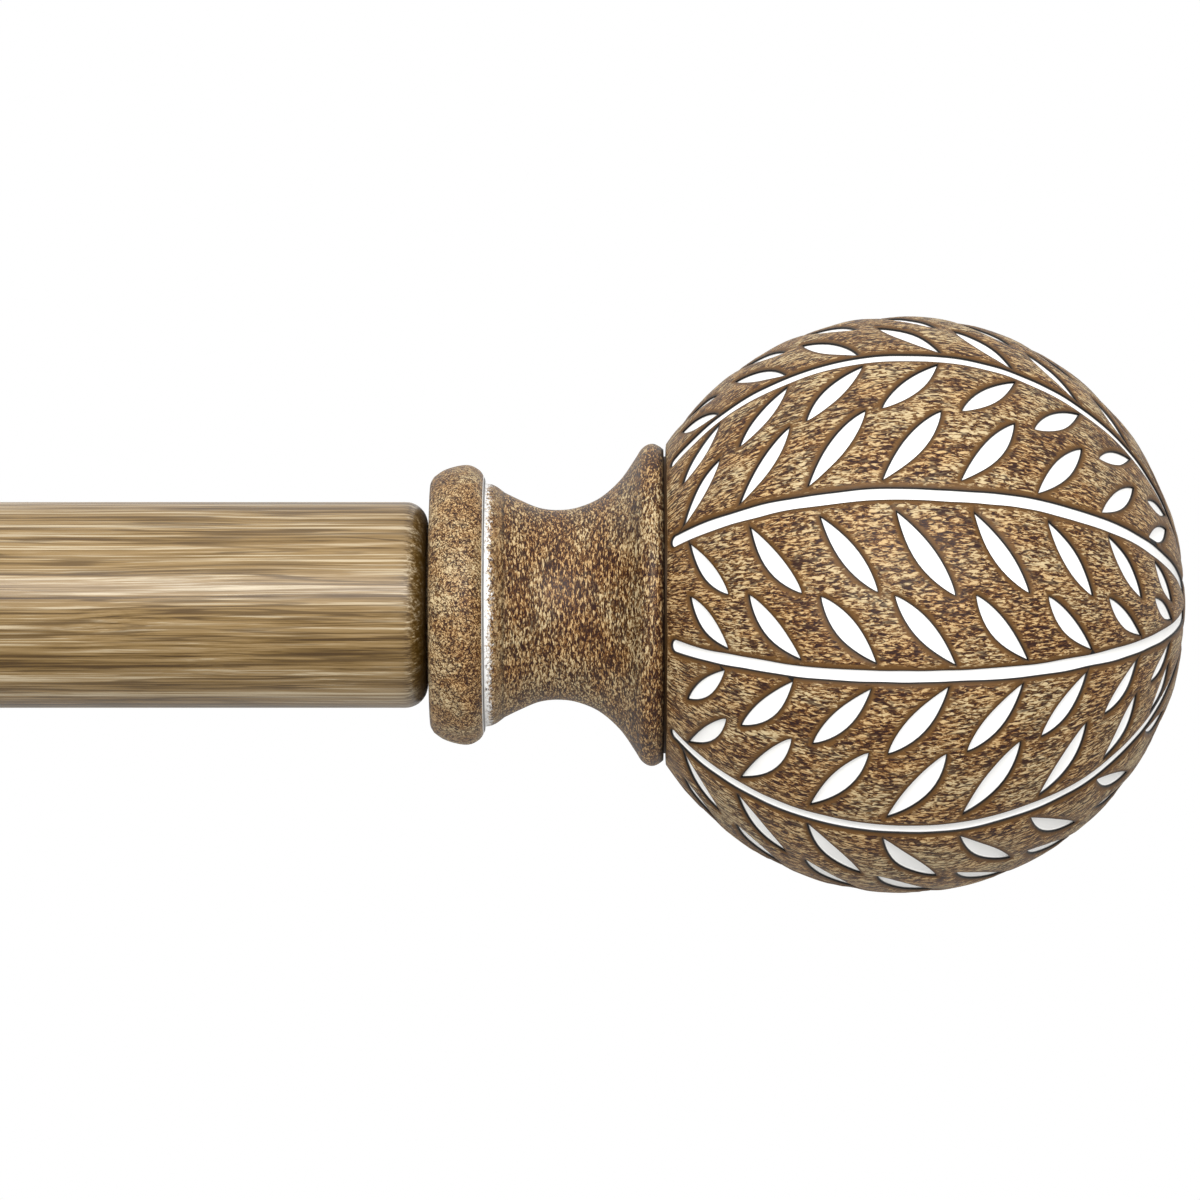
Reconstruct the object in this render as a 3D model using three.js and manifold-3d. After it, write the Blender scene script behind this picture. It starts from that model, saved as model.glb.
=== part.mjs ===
// Telescoping curtain rod with two carved ball finials and two adjustable wall brackets.
//
// Units are millimetres. +X runs along the rod, +Z is up, and the wall is the plane Y = 0 with the
// room on its -Y side. The origin is the centre of the right bracket's wall face.

import * as THREE from 'three';
import { mergeVertices } from 'three/addons/utils/BufferGeometryUtils.js';
import Module from 'manifold-3d';

const wasm = await Module();
wasm.setup();

// ---------------------------------------------------------------- driving dimensions

const INCH = 25.4;
const GAP = 0.3; // clearance between two pieces that touch
const ROUND = 28; // facets around the large turned pieces
const MIDDLE_ROUND = 20; // facets around the arms, knobs and inserts
const SMALL_ROUND = 12; // facets around screws, studs and dowels

// Rod: a 28 to 48 inch telescoping pair, stored closed.
const OUTER_RADIUS = INCH / 2;
const INNER_RADIUS = 11;
const TUBE_WALL = 0.8;
const OUTER_LENGTH = 23 * INCH;
const INNER_LENGTH = 27 * INCH;
const CLOSED_LENGTH = 28 * INCH;
const END_HOLE_RADIUS = 9.9; // opening left by the rolled-in end of either tube

// Where the rod lies: its axis crosses each bracket this far from the wall and the rod's end.
const PROJECTION = 3.5 * INCH;
const OVERHANG = 100;
const RIGHT_END = OVERHANG;
const LEFT_END = RIGHT_END - CLOSED_LENGTH;
const MOUTH = RIGHT_END - OUTER_LENGTH;

// Threaded inserts, the inner tube's glide and the outer tube's mouth ring.
const INSERT_RECESS = 3.1;
const INSERT_LENGTH = 18;
const GLIDE_BORE = 7;
const GLIDE_LENGTH = 12;
const GLIDE_FLANGE = 2;
const RING_CLEARANCE = 0.25;
const RING_FLANGE = 1.5;
const RING_DEPTH = 12;

// Finial, measured along its own axis from the collar face that meets the rod.
const STUD_RADIUS = 4;
const STUD_REACH = 18; // into the rod
const STUD_DEPTH = 14; // into the neck
const SPIGOT_RADIUS = 9.5;
const SPIGOT_LENGTH = 2.4;
const NECK_LENGTH = 28.7;
const DOWEL_RADIUS = 5;
const DOWEL_START = 18;
const DOWEL_END = 44;
const BALL_RADIUS = 35.6;
const BALL_HALF_LENGTH = 35;
const BALL_CENTRE = 58.05;

// Bracket, measured out from the wall.
const PLATE_RADIUS = 32;
const PLATE_HUB = 8.4;
const SOCKET_FLOOR = 3.9;
const SCREW_OFFSET = 21; // wall screws above and below the plate's centre
const BAR_RADIUS = 5.5;
const BAR_START = 16;
const SLEEVE_RADIUS = 8.3;
const SLEEVE_FLOOR = 14;
const SLEEVE_END = 60;
const LOCK_PLACE = 52;
const LOCK_BOSS = 12; // from the bar's axis to the lock screw boss's face
const CUP_WIDTH = 16;
const CUP_RADIUS = 13.1;
const CUP_WALL = 2.6;
const CUP_HEIGHT = 10; // of the cup's arms above its centre
const CUP_BOSS = 3;
const ROD_REST = 0.4; // between the rod's underside and the cup
const THUMB_RADIUS = 2.5;
const THUMB_LENGTH = 14;
const THUMB_BORE = THUMB_RADIUS + GAP;

// ---------------------------------------------------------------- materials

function finish(color, roughness, metalness) {
  return () => new THREE.MeshStandardMaterial({ color, roughness, metalness });
}

const woodFilm = finish(0xaa916f, 0.45, 0.0);
const glazedWood = finish(0x84674a, 0.55, 0.0);
const carvedWood = finish(0x9c7d5c, 0.6, 0.0);
const bareWood = finish(0xc9a578, 0.8, 0.0);
const bronzePaint = finish(0x4a3527, 0.4, 0.6);
const zincSteel = finish(0xb4b6b8, 0.35, 0.9);
const darkNylon = finish(0x2e2620, 0.6, 0.0);
const whiteNylon = finish(0xe6e3da, 0.6, 0.0);

// ---------------------------------------------------------------- solids

// A closed solid from any closed three.js geometry, with its faces turned outwards.
function toSolid(geometry) {
  const bare = new THREE.BufferGeometry();
  bare.setAttribute('position', geometry.getAttribute('position').clone());
  if (geometry.index) bare.setIndex(geometry.index.clone());
  const merged = mergeVertices(bare, 1e-4);
  const corners = merged.index.array;
  const kept = [];
  for (let i = 0; i < corners.length; i += 3) {
    const [a, b, c] = [corners[i], corners[i + 1], corners[i + 2]];
    if (a !== b && b !== c && c !== a) kept.push(a, b, c);
  }
  const points = new Float32Array(merged.getAttribute('position').array);
  if (signedVolume(points, kept) < 0) kept.reverse();
  return new wasm.Manifold(new wasm.Mesh({
    numProp: 3,
    vertProperties: points,
    triVerts: new Uint32Array(kept),
  }));
}

function signedVolume(points, corners) {
  const at = (k) => new THREE.Vector3().fromArray(points, 3 * k);
  let sum = 0;
  for (let i = 0; i < corners.length; i += 3) {
    sum += at(corners[i]).dot(at(corners[i + 1]).cross(at(corners[i + 2])));
  }
  return sum / 6;
}

function toGeometry(solid) {
  const mesh = solid.getMesh();
  const geometry = new THREE.BufferGeometry();
  geometry.setAttribute('position', new THREE.BufferAttribute(mesh.vertProperties, 3));
  geometry.setIndex(new THREE.BufferAttribute(mesh.triVerts, 1));
  geometry.computeVertexNormals();
  return geometry;
}

// A turned solid. The outline is a list of [radius, distance along the axis]; it starts and ends on
// the axis, or closes on itself.
function turned(outline, facets = ROUND) {
  const points = outline.map(([radius, along]) => new THREE.Vector2(radius, along));
  const hollow = points[0].x > 0;
  if (hollow) points.push(points[0].clone());
  return toSolid(new THREE.LatheGeometry(points, facets));
}

// A plain round pin between two distances along the axis.
function pin(radius, from, to, facets = SMALL_ROUND) {
  return turned([[0, from], [radius, from], [radius, to], [0, to]], facets);
}

// Points along a smooth outline through the given [radius, distance] pairs.
function smooth(pairs, steps) {
  const curve = new THREE.SplineCurve(pairs.map(([radius, along]) => new THREE.Vector2(radius, along)));
  return curve.getPoints(steps).map((point) => [point.x, point.y]);
}

// A quarter or other arc of an ellipse in the outline plane, angles in radians from the axis side.
function arc([radius, along], [radial, axial], from, to, steps) {
  return Array.from({ length: steps + 1 }, (_, step) => {
    const angle = from + ((to - from) * step) / steps;
    return [radius + radial * Math.sin(angle), along + axial * Math.cos(angle)];
  });
}

// Matrices that lay a turned solid's axis along the rod, out from the wall, or downwards.
const ALONG_ROD = new THREE.Matrix4().makeRotationZ(-Math.PI / 2);
const FROM_WALL = new THREE.Matrix4().makeRotationX(Math.PI);
const DOWNWARDS = new THREE.Matrix4().makeRotationX(-Math.PI / 2);

function moved(solid, matrix, x = 0, y = 0, z = 0) {
  const placed = new THREE.Matrix4().makeTranslation(x, y, z).multiply(matrix);
  return solid.transform(placed.elements);
}

function piece(name, solid, material) {
  const mesh = new THREE.Mesh(toGeometry(solid), material());
  mesh.name = name;
  return mesh;
}

// ---------------------------------------------------------------- rod

// A thin tube along +X whose far end, at 0, is rolled in to a smaller opening.
function rolledTube(radius, length) {
  const roll = radius - END_HOLE_RADIUS;
  const centre = [END_HOLE_RADIUS, -roll];
  return turned([
    [radius, -length],
    ...arc(centre, [roll, roll], Math.PI / 2, 0, 4),
    ...arc(centre, [roll - TUBE_WALL, roll - TUBE_WALL], 0, Math.PI / 2, 2),
    [radius - TUBE_WALL, -length],
  ]);
}

function endInsert(tubeRadius) {
  const radius = tubeRadius - TUBE_WALL - GAP;
  const front = -INSERT_RECESS;
  const back = front - INSERT_LENGTH;
  const bore = STUD_RADIUS + GAP;
  return turned([[bore, back], [radius, back], [radius, front], [bore, front]], MIDDLE_ROUND);
}

function glide() {
  const plug = INNER_RADIUS - TUBE_WALL - GAP;
  const flange = OUTER_RADIUS - TUBE_WALL - GAP;
  return turned([
    [GLIDE_BORE, -GLIDE_FLANGE - GAP],
    [flange, -GLIDE_FLANGE - GAP],
    [flange, -GAP],
    [plug, -GAP],
    [plug, GLIDE_LENGTH],
    [GLIDE_BORE, GLIDE_LENGTH],
  ]);
}

function mouthRing() {
  const inside = INNER_RADIUS + RING_CLEARANCE;
  const outside = OUTER_RADIUS - TUBE_WALL - RING_CLEARANCE;
  return turned([
    [inside, -RING_FLANGE - GAP],
    [OUTER_RADIUS, -RING_FLANGE - GAP],
    [OUTER_RADIUS, -GAP],
    [outside, -GAP],
    [outside, RING_DEPTH],
    [inside, RING_DEPTH],
  ]);
}

function makeRod() {
  const rod = new THREE.Group();
  const onAxis = (solid, x, turn = 1) => {
    const facing = turn > 0 ? ALONG_ROD : new THREE.Matrix4().makeRotationZ(Math.PI / 2);
    return moved(solid, facing, x, -PROJECTION, 0);
  };
  rod.add(piece('outer_rod', onAxis(rolledTube(OUTER_RADIUS, OUTER_LENGTH), RIGHT_END), woodFilm));
  rod.add(piece('outer_rod_insert', onAxis(endInsert(OUTER_RADIUS), RIGHT_END), darkNylon));
  rod.add(piece('rod_mouth_ring', onAxis(mouthRing(), MOUTH), darkNylon));
  rod.add(piece('inner_rod', onAxis(rolledTube(INNER_RADIUS, INNER_LENGTH), LEFT_END, -1), woodFilm));
  rod.add(piece('inner_rod_insert', onAxis(endInsert(INNER_RADIUS), LEFT_END, -1), darkNylon));
  rod.add(piece('inner_rod_glide', onAxis(glide(), LEFT_END + INNER_LENGTH, -1), darkNylon));
  return rod;
}

// ---------------------------------------------------------------- finial

function finialNeck() {
  const bore = STUD_RADIUS + GAP;
  const dowelBore = DOWEL_RADIUS + GAP;
  const collar = smooth([[15.5, 0.3], [17, 2], [17.35, 4.2], [16.3, 6.5]], 4);
  const waist = smooth([[15.5, 7.2], [13.3, 11.1], [12, 15.4], [13.5, 20.9], [19.2, 25.8]], 7);
  const lip = smooth([[19.9, 27.1], [19.6, NECK_LENGTH]], 1);
  return turned([
    [0, STUD_DEPTH + GAP],
    [bore, STUD_DEPTH + GAP],
    [bore, -SPIGOT_LENGTH],
    [SPIGOT_RADIUS, -SPIGOT_LENGTH],
    [SPIGOT_RADIUS, 0],
    [collar[0][0] - GAP, 0],
    ...collar,
    [15.6, 6.8],
    ...waist,
    ...lip,
    [dowelBore, NECK_LENGTH],
    [dowelBore, DOWEL_START - GAP],
    [0, DOWEL_START - GAP],
  ]);
}

// An oblate ball, flattened where the neck butts against it and bored for the dowel.
function finialBall() {
  const face = NECK_LENGTH + GAP;
  const bore = DOWEL_RADIUS + GAP;
  const start = Math.acos((face - BALL_CENTRE) / BALL_HALF_LENGTH);
  return turned([
    [0, DOWEL_END + GAP],
    [bore, DOWEL_END + GAP],
    [bore, face],
    ...arc([0, BALL_CENTRE], [BALL_RADIUS, BALL_HALF_LENGTH], start, 0, 12),
  ]);
}

function finialStud() {
  const tip = 0.8;
  return turned([
    [0, -STUD_REACH],
    [STUD_RADIUS - tip, -STUD_REACH],
    [STUD_RADIUS, -STUD_REACH + tip],
    [STUD_RADIUS, STUD_DEPTH],
    [0, STUD_DEPTH],
  ], SMALL_ROUND);
}

// A finial that screws into a rod end at the group's origin and points along the group's +X.
function makeFinial(side) {
  const finial = new THREE.Group();
  const add = (name, solid, material) => {
    finial.add(piece(`${side}_finial_${name}`, moved(solid, ALONG_ROD), material));
  };
  add('neck', finialNeck(), glazedWood);
  add('ball', finialBall(), carvedWood);
  add('stud', finialStud(), zincSteel);
  add('dowel', pin(DOWEL_RADIUS, DOWEL_START, DOWEL_END), bareWood);
  return finial;
}

// ---------------------------------------------------------------- bracket

// A stepped round rose with a socket for the arm and two countersunk screw holes.
function wallPlate() {
  const rose = turned([
    [0, 0],
    [PLATE_RADIUS, 0],
    [PLATE_RADIUS, 2.2],
    [PLATE_RADIUS - 1.4, 3.6],
    [PLATE_RADIUS - 3.6, 3.6],
    [PLATE_RADIUS - 4.4, 4.4],
    [16, 5.4],
    [12.4, PLATE_HUB],
    [BAR_RADIUS + 0.5, PLATE_HUB],
    [BAR_RADIUS + 0.5, SOCKET_FLOOR],
    [0, SOCKET_FLOOR],
  ]);
  const hole = turned([[0, -1], [2.6, -1], [2.6, 2.4], [5.6, 5.4], [5.6, 9], [0, 9]], SMALL_ROUND);
  const above = hole.translate(0, 0, SCREW_OFFSET);
  const below = hole.translate(0, 0, -SCREW_OFFSET);
  return rose.subtract(above).subtract(below);
}

function wallScrew() {
  return turned([
    [0, -33],
    [2.1, -28],
    [2.1, 2.4],
    [4.3, 4.6],
    [4.3, 4.9],
    [0, 4.9],
  ], SMALL_ROUND);
}

// A plastic plug in the wall. It starts behind the plaster's face, clear of the plate.
function wallAnchor() {
  const bore = 2.4;
  return turned([
    [bore, -2.4],
    [5, -2.4],
    [5, -3.4],
    [4, -3.4],
    [4, -22],
    [3.2, -30],
    [bore, -30],
  ], SMALL_ROUND);
}

// The fixed half of the arm: a bored tube with a spigot for the plate and a boss for the lock screw.
function armSleeve() {
  const spigot = BAR_RADIUS + 0.5 - GAP;
  const foot = PLATE_HUB + GAP;
  const bore = BAR_RADIUS + GAP;
  const tube = turned([
    [0, SOCKET_FLOOR + GAP],
    [spigot, SOCKET_FLOOR + GAP],
    [spigot, foot],
    [9.6, foot],
    [9.6, foot + 2],
    [SLEEVE_RADIUS, foot + 3.6],
    [SLEEVE_RADIUS, SLEEVE_END - 4],
    [9.1, SLEEVE_END - 3.2],
    [9.1, SLEEVE_END],
    [bore, SLEEVE_END],
    [bore, SLEEVE_FLOOR],
    [0, SLEEVE_FLOOR],
  ], MIDDLE_ROUND);
  const below = (radius, from, to) => moved(pin(radius, from, to), DOWNWARDS, 0, -LOCK_PLACE, 0);
  return moved(tube, FROM_WALL)
    .add(below(4.3, BAR_RADIUS + 1.1, LOCK_BOSS))
    .subtract(below(THUMB_BORE, 2, LOCK_BOSS + 1));
}

function armBar() {
  const end = PROJECTION - CUP_RADIUS - CUP_WALL - GAP;
  return pin(BAR_RADIUS, BAR_START, end, MIDDLE_ROUND);
}

// The U that holds the rod, 16 mm wide, with a boss for the set screw in front and one for the arm
// bar behind. It is centred on the origin.
function cradleCup() {
  const outside = CUP_RADIUS + CUP_WALL;
  const outline = new THREE.Shape();
  outline.moveTo(-outside, CUP_HEIGHT);
  outline.lineTo(-outside, 0);
  outline.absarc(0, 0, outside, Math.PI, 2 * Math.PI, false);
  outline.lineTo(outside, CUP_HEIGHT);
  outline.lineTo(CUP_RADIUS, CUP_HEIGHT);
  outline.lineTo(CUP_RADIUS, 0);
  outline.absarc(0, 0, CUP_RADIUS, 2 * Math.PI, Math.PI, true);
  outline.lineTo(-CUP_RADIUS, CUP_HEIGHT);
  outline.closePath();
  const band = new THREE.ExtrudeGeometry(outline, {
    depth: CUP_WIDTH,
    bevelEnabled: false,
    curveSegments: ROUND / 2,
  });
  band.translate(0, 0, -CUP_WIDTH / 2);
  band.rotateX(Math.PI / 2);
  band.rotateZ(Math.PI / 2);
  const across = (radius, from, to, facets) => moved(pin(radius, from, to, facets), FROM_WALL);
  const face = outside + CUP_BOSS;
  return toSolid(band)
    .add(across(4.6, outside - 1.2, face))
    .add(across(6.8, -face, 2.1 - outside, MIDDLE_ROUND))
    .subtract(across(THUMB_BORE, 8, face + 1))
    .subtract(across(BAR_RADIUS + GAP, -face - 1, -outside, MIDDLE_ROUND));
}

function thumbShank() {
  return turned([
    [0, 0],
    [THUMB_RADIUS - 0.5, 0],
    [THUMB_RADIUS, 0.5],
    [THUMB_RADIUS, THUMB_LENGTH],
    [0, THUMB_LENGTH],
  ], SMALL_ROUND);
}

// A round knob on a short neck, bored for the end of its screw.
function thumbKnob() {
  const neck = THUMB_LENGTH - 5;
  return turned([
    [0, THUMB_LENGTH + GAP],
    [THUMB_BORE, THUMB_LENGTH + GAP],
    [THUMB_BORE, neck],
    [4.2, neck],
    [4.2, neck + 1.5],
    [6.4, neck + 1.5],
    [7, neck + 2.1],
    [7, neck + 8.4],
    [6.4, neck + 9],
    [0, neck + 9],
  ], MIDDLE_ROUND);
}

// A bracket with its wall face centred on the group's origin, for a tube of the given radius.
function makeBracket(side, tubeRadius) {
  const bracket = new THREE.Group();
  const add = (name, solid, material) => bracket.add(piece(`${side}_${name}`, solid, material));
  const setTip = tubeRadius + GAP;
  const lockTip = BAR_RADIUS + GAP;
  add('wall_plate', moved(wallPlate(), FROM_WALL), bronzePaint);
  for (const [place, z] of [['top', SCREW_OFFSET], ['bottom', -SCREW_OFFSET]]) {
    add(`wall_screw_${place}`, moved(wallScrew(), FROM_WALL, 0, 0, z), bronzePaint);
    add(`wall_anchor_${place}`, moved(wallAnchor(), FROM_WALL, 0, 0, z), whiteNylon);
  }
  add('arm_sleeve', armSleeve(), bronzePaint);
  add('arm_bar', moved(armBar(), FROM_WALL), bronzePaint);
  add('cradle_cup', cradleCup().translate(0, -PROJECTION, 0), bronzePaint);
  add('set_screw', moved(thumbShank(), FROM_WALL, 0, -PROJECTION - setTip, 0), zincSteel);
  add('set_knob', moved(thumbKnob(), FROM_WALL, 0, -PROJECTION - setTip, 0), bronzePaint);
  add('lock_screw', moved(thumbShank(), DOWNWARDS, 0, -LOCK_PLACE, -lockTip), zincSteel);
  add('lock_knob', moved(thumbKnob(), DOWNWARDS, 0, -LOCK_PLACE, -lockTip), bronzePaint);
  return bracket;
}

// ---------------------------------------------------------------- assembly

const curtainRod = new THREE.Group();
curtainRod.add(makeRod());

const rightFinial = makeFinial('right');
rightFinial.position.set(RIGHT_END + GAP, -PROJECTION, 0);
curtainRod.add(rightFinial);

const leftFinial = makeFinial('left');
leftFinial.position.set(LEFT_END - GAP, -PROJECTION, 0);
leftFinial.rotation.z = Math.PI;
curtainRod.add(leftFinial);

// Both cups are alike, so the left bracket is fixed higher and the thinner tube lies level in it.
const rightBracket = makeBracket('right', OUTER_RADIUS);
rightBracket.position.z = CUP_RADIUS - OUTER_RADIUS - ROD_REST;
curtainRod.add(rightBracket);

const leftBracket = makeBracket('left', INNER_RADIUS);
leftBracket.position.set(LEFT_END + OVERHANG, 0, CUP_RADIUS - INNER_RADIUS - ROD_REST);
curtainRod.add(leftBracket);

export default curtainRod;
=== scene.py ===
"""A telescoping curtain rod with carved ball finials and two adjustable wall brackets.

The shape functions work in millimetres about a piece's own axis, and place() scales a piece to
metres and lays it in the frame. +X runs along the rod, +Z is up, and the wall is the plane y = 0
with the room on its -y side.
"""

import math
import random

import bmesh
import bpy
import numpy as np
from bpy.props import FloatProperty, FloatVectorProperty, IntProperty, PointerProperty
from mathutils import Matrix, Vector, noise
from mathutils.geometry import delaunay_2d_cdt


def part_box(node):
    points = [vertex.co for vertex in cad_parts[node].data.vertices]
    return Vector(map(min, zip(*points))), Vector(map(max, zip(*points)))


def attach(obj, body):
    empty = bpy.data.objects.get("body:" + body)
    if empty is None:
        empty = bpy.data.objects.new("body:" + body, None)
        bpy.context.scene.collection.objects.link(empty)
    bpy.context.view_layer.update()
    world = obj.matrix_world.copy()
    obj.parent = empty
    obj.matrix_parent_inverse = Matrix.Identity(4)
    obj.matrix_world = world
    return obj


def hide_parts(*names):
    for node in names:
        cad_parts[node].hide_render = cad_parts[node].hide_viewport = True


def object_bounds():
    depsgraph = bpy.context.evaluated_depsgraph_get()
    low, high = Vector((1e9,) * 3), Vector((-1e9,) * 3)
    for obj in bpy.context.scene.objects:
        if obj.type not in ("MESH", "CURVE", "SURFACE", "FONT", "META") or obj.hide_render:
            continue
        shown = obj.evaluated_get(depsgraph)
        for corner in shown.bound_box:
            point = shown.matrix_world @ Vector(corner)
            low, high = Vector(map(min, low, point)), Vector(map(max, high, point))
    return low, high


bl_info = {
    "name": "Curtain rod with brackets",
    "version": (1, 0, 0),
    "blender": (4, 5, 0),
    "location": "3D View > Sidebar > Curtain Rod",
    "description": "Builds a telescoping curtain rod, its carved finials and its wall brackets",
    "category": "Object",
}

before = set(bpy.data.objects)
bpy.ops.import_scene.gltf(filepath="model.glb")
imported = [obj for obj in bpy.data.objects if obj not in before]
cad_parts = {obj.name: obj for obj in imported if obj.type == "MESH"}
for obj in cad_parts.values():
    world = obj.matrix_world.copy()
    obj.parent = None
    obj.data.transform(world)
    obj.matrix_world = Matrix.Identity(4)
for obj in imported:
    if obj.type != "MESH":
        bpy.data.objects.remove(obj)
cad_low, cad_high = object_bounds()

MM = 0.001

# ------------------------------------------------------------------ places, read from the frame


def box_mm(node):
    """The lowest and highest corner of a frame node, in millimetres."""
    low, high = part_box(node)
    return [round(v / MM, 2) for v in low], [round(v / MM, 2) for v in high]


OUTER_LOW, OUTER_HIGH = box_mm("outer_rod")
INNER_LOW, INNER_HIGH = box_mm("inner_rod")
AXIS_Y = (OUTER_LOW[1] + OUTER_HIGH[1]) / 2
OUTER_RADIUS = (OUTER_HIGH[2] - OUTER_LOW[2]) / 2
INNER_RADIUS = (INNER_HIGH[2] - INNER_LOW[2]) / 2
GAP = 0.3

ALONG_ROD = Matrix.Rotation(math.pi / 2, 4, "Y")
BACK_ALONG_ROD = Matrix.Rotation(-math.pi / 2, 4, "Y")
FROM_WALL = Matrix.Rotation(math.pi / 2, 4, "X")
DOWNWARDS = Matrix.Rotation(math.pi, 4, "X")
UNTURNED = Matrix.Identity(4)


def at(x, y, z, turn=UNTURNED):
    """The matrix that lays a piece made about the origin at a place in millimetres."""
    return Matrix.Translation(Vector((x, y, z)) * MM) @ turn


def finial_place(side):
    """Where a finial's own +X axis starts: the face of its collar, against the rod's end."""
    if side == "right":
        return at(OUTER_HIGH[0] + GAP, AXIS_Y, 0)
    return at(INNER_LOW[0] - GAP, AXIS_Y, 0, Matrix.Rotation(math.pi, 4, "Z"))


def bracket_place(side):
    """The centre of a bracket's wall face, as x and z in millimetres."""
    low, high = box_mm(f"{side}_wall_plate")
    return (low[0] + high[0]) / 2, (low[2] + high[2]) / 2


SIDES = ("right", "left")
TUBE_RADIUS = {"right": OUTER_RADIUS, "left": INNER_RADIUS}

# ------------------------------------------------------------------ sizes and colours to change


def lightness(level):
    """A 0 to 255 screen level as a linear amount of light."""
    part = level / 255
    return part / 12.92 if part <= 0.04045 else ((part + 0.055) / 1.055) ** 2.4


STUDIO_GAIN = 1.93
STUDIO_SHEEN = 0.012


def tone(red, green, blue):
    """A finish's own colour, from the levels it shows in the studio light."""
    shown = [lightness(level) for level in (red, green, blue)]
    return tuple(max(part - STUDIO_SHEEN, part * 0.35) / STUDIO_GAIN for part in shown) + (1.0,)


def colour(name, description, default):
    return FloatVectorProperty(
        name=name, description=description, default=default, size=4, min=0, max=1, subtype="COLOR"
    )


def length(name, description, default):
    return FloatProperty(name=name, description=description, default=default, min=0, unit="NONE")


class TubeLook(bpy.types.PropertyGroup):
    """Wood-grain film on the two tubes."""

    light: colour("Pale streaks", "The palest streaks of the film", tone(238, 216, 178))
    middle: colour("Film", "The film between its streaks", tone(182, 150, 100))
    brown: colour("Brown streaks", "The broad darker streaks", tone(152, 120, 68))
    dark: colour("Dark lines", "The thin dark lines of the grain", tone(96, 70, 28))
    roughness: FloatProperty(
        name="Roughness", description="Gloss of the film", default=0.31, min=0, max=1,
        subtype="FACTOR",
    )
    streak: length("Streak width", "Width of a fine streak in millimetres", 0.42)
    nylon: colour("Nylon", "Inserts, glide and mouth ring", tone(58, 49, 42))


class FinialLook(bpy.types.PropertyGroup):
    """Carving and paint of the two finials."""

    dark: colour("Glaze", "The dark glaze under the dry brushing", tone(60, 34, 10))
    brown: colour("Brown", "The brown coat", tone(124, 88, 48))
    tan: colour("Tan", "The dry-brushed tan", tone(192, 156, 106))
    gold: colour("Pale gold", "The palest dry-brushed flecks", tone(252, 232, 186))
    rust: colour("Rust tint", "The tint of the warmer patches", (1.0, 0.80, 0.60, 1.0))
    line: colour("Cut edge", "The dark line left round a cut", tone(30, 18, 10))
    white: colour("Cut paint", "The paint in the cuts", (0.86, 0.85, 0.83, 1.0))
    vine_width: length("Vine width", "Width of a vine cut in millimetres", 1.55)
    leaf_width: length("Leaf width", "Greatest width of a leaf cut in millimetres", 2.6)
    cut_depth: length("Cut depth", "Depth of the cuts' walls in millimetres", 0.32)
    band: length("Plain band", "Width of the unbrushed band round a cut in millimetres", 0.8)
    dowel: colour("Dowel", "Bare beech", tone(214, 178, 132))


class BracketLook(bpy.types.PropertyGroup):
    """Paint, steel and plastic of the brackets."""

    bronze: colour("Bronze", "The dark bronze paint", tone(74, 53, 38))
    rubbed: colour("Rubbed bronze", "The paint where it is rubbed to gold", tone(176, 138, 88))
    zinc: colour("Zinc", "Plated screws and studs", (0.55, 0.56, 0.57, 1.0))
    plastic: colour("Plugs", "The plastic wall plugs", (0.62, 0.60, 0.55, 1.0))
    knurls: IntProperty(
        name="Grip ribs", description="Ribs round a thumb screw's grip", default=28, min=6, max=60
    )


class StageLook(bpy.types.PropertyGroup):
    """Camera, light and floor."""

    lens: FloatProperty(
        name="Lens", description="Focal length in millimetres", default=219, min=10, max=500
    )
    distance: FloatProperty(
        name="Camera distance", description="From the rod's axis to the camera", default=0.9,
        min=0.1, unit="LENGTH",
    )
    surround: FloatProperty(
        name="Surround", description="Strength of the white surround", default=1.0, min=0
    )
    key: FloatProperty(
        name="Key light", description="Power of the large front light in watts", default=15.0, min=0
    )
    floor: colour("Floor", "The pale floor", (0.52, 0.52, 0.515, 1.0))


# ------------------------------------------------------------------ outlines and shells


def softened(outline, size=0.4, steps=3, ring=False):
    """An outline with each of its corners rounded by a short curve."""
    points = [Vector(point) for point in outline]
    count = len(points)
    made = []
    for i, corner in enumerate(points):
        if not ring and i in (0, count - 1):
            made.append(corner)
            continue
        before = points[i - 1] - corner
        after = points[(i + 1) % count] - corner
        reach = min(size, before.length * 0.45, after.length * 0.45)
        start = corner + before.normalized() * reach
        finish = corner + after.normalized() * reach
        for k in range(steps + 1):
            part = k / steps
            blend = start * (1 - part) ** 2 + corner * 2 * part * (1 - part) + finish * part**2
            made.append(blend)
    return [tuple(point) for point in made]


def spline(pairs, steps):
    """Points on a smooth curve through the given pairs, steps to each span."""
    points = [Vector(pair) for pair in pairs]
    padded = [points[0]] + points + [points[-1]]
    made = []
    for i in range(len(points) - 1):
        p0, p1, p2, p3 = padded[i : i + 4]
        for k in range(steps):
            t = k / steps
            made.append(
                p1
                + (p2 - p0) * 0.5 * t
                + (p0 - p1 * 2.5 + p2 * 2 - p3 * 0.5) * t**2
                + (p1 * 1.5 - p0 * 0.5 - p2 * 1.5 + p3 * 0.5) * t**3
            )
    made.append(points[-1])
    return [tuple(point) for point in made]


def arc(centre, size, start, end, steps):
    """Points on a circle's arc, angles in radians from the axis towards the outside."""
    made = []
    for k in range(steps + 1):
        angle = start + (end - start) * k / steps
        made.append((centre[0] + size * math.sin(angle), centre[1] + size * math.cos(angle)))
    return made


def bridge(shell, row, following):
    """Faces between two rows of points that go round an axis."""
    count = max(len(row), len(following))
    for i in range(count):
        j = (i + 1) % count
        if len(row) == 1 and len(following) == 1:
            return
        if len(row) == 1:
            shell.faces.new((row[0], following[i], following[j]))
        elif len(following) == 1:
            shell.faces.new((row[i], following[0], row[j]))
        else:
            shell.faces.new((row[i], following[i], following[j], row[j]))


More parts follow.
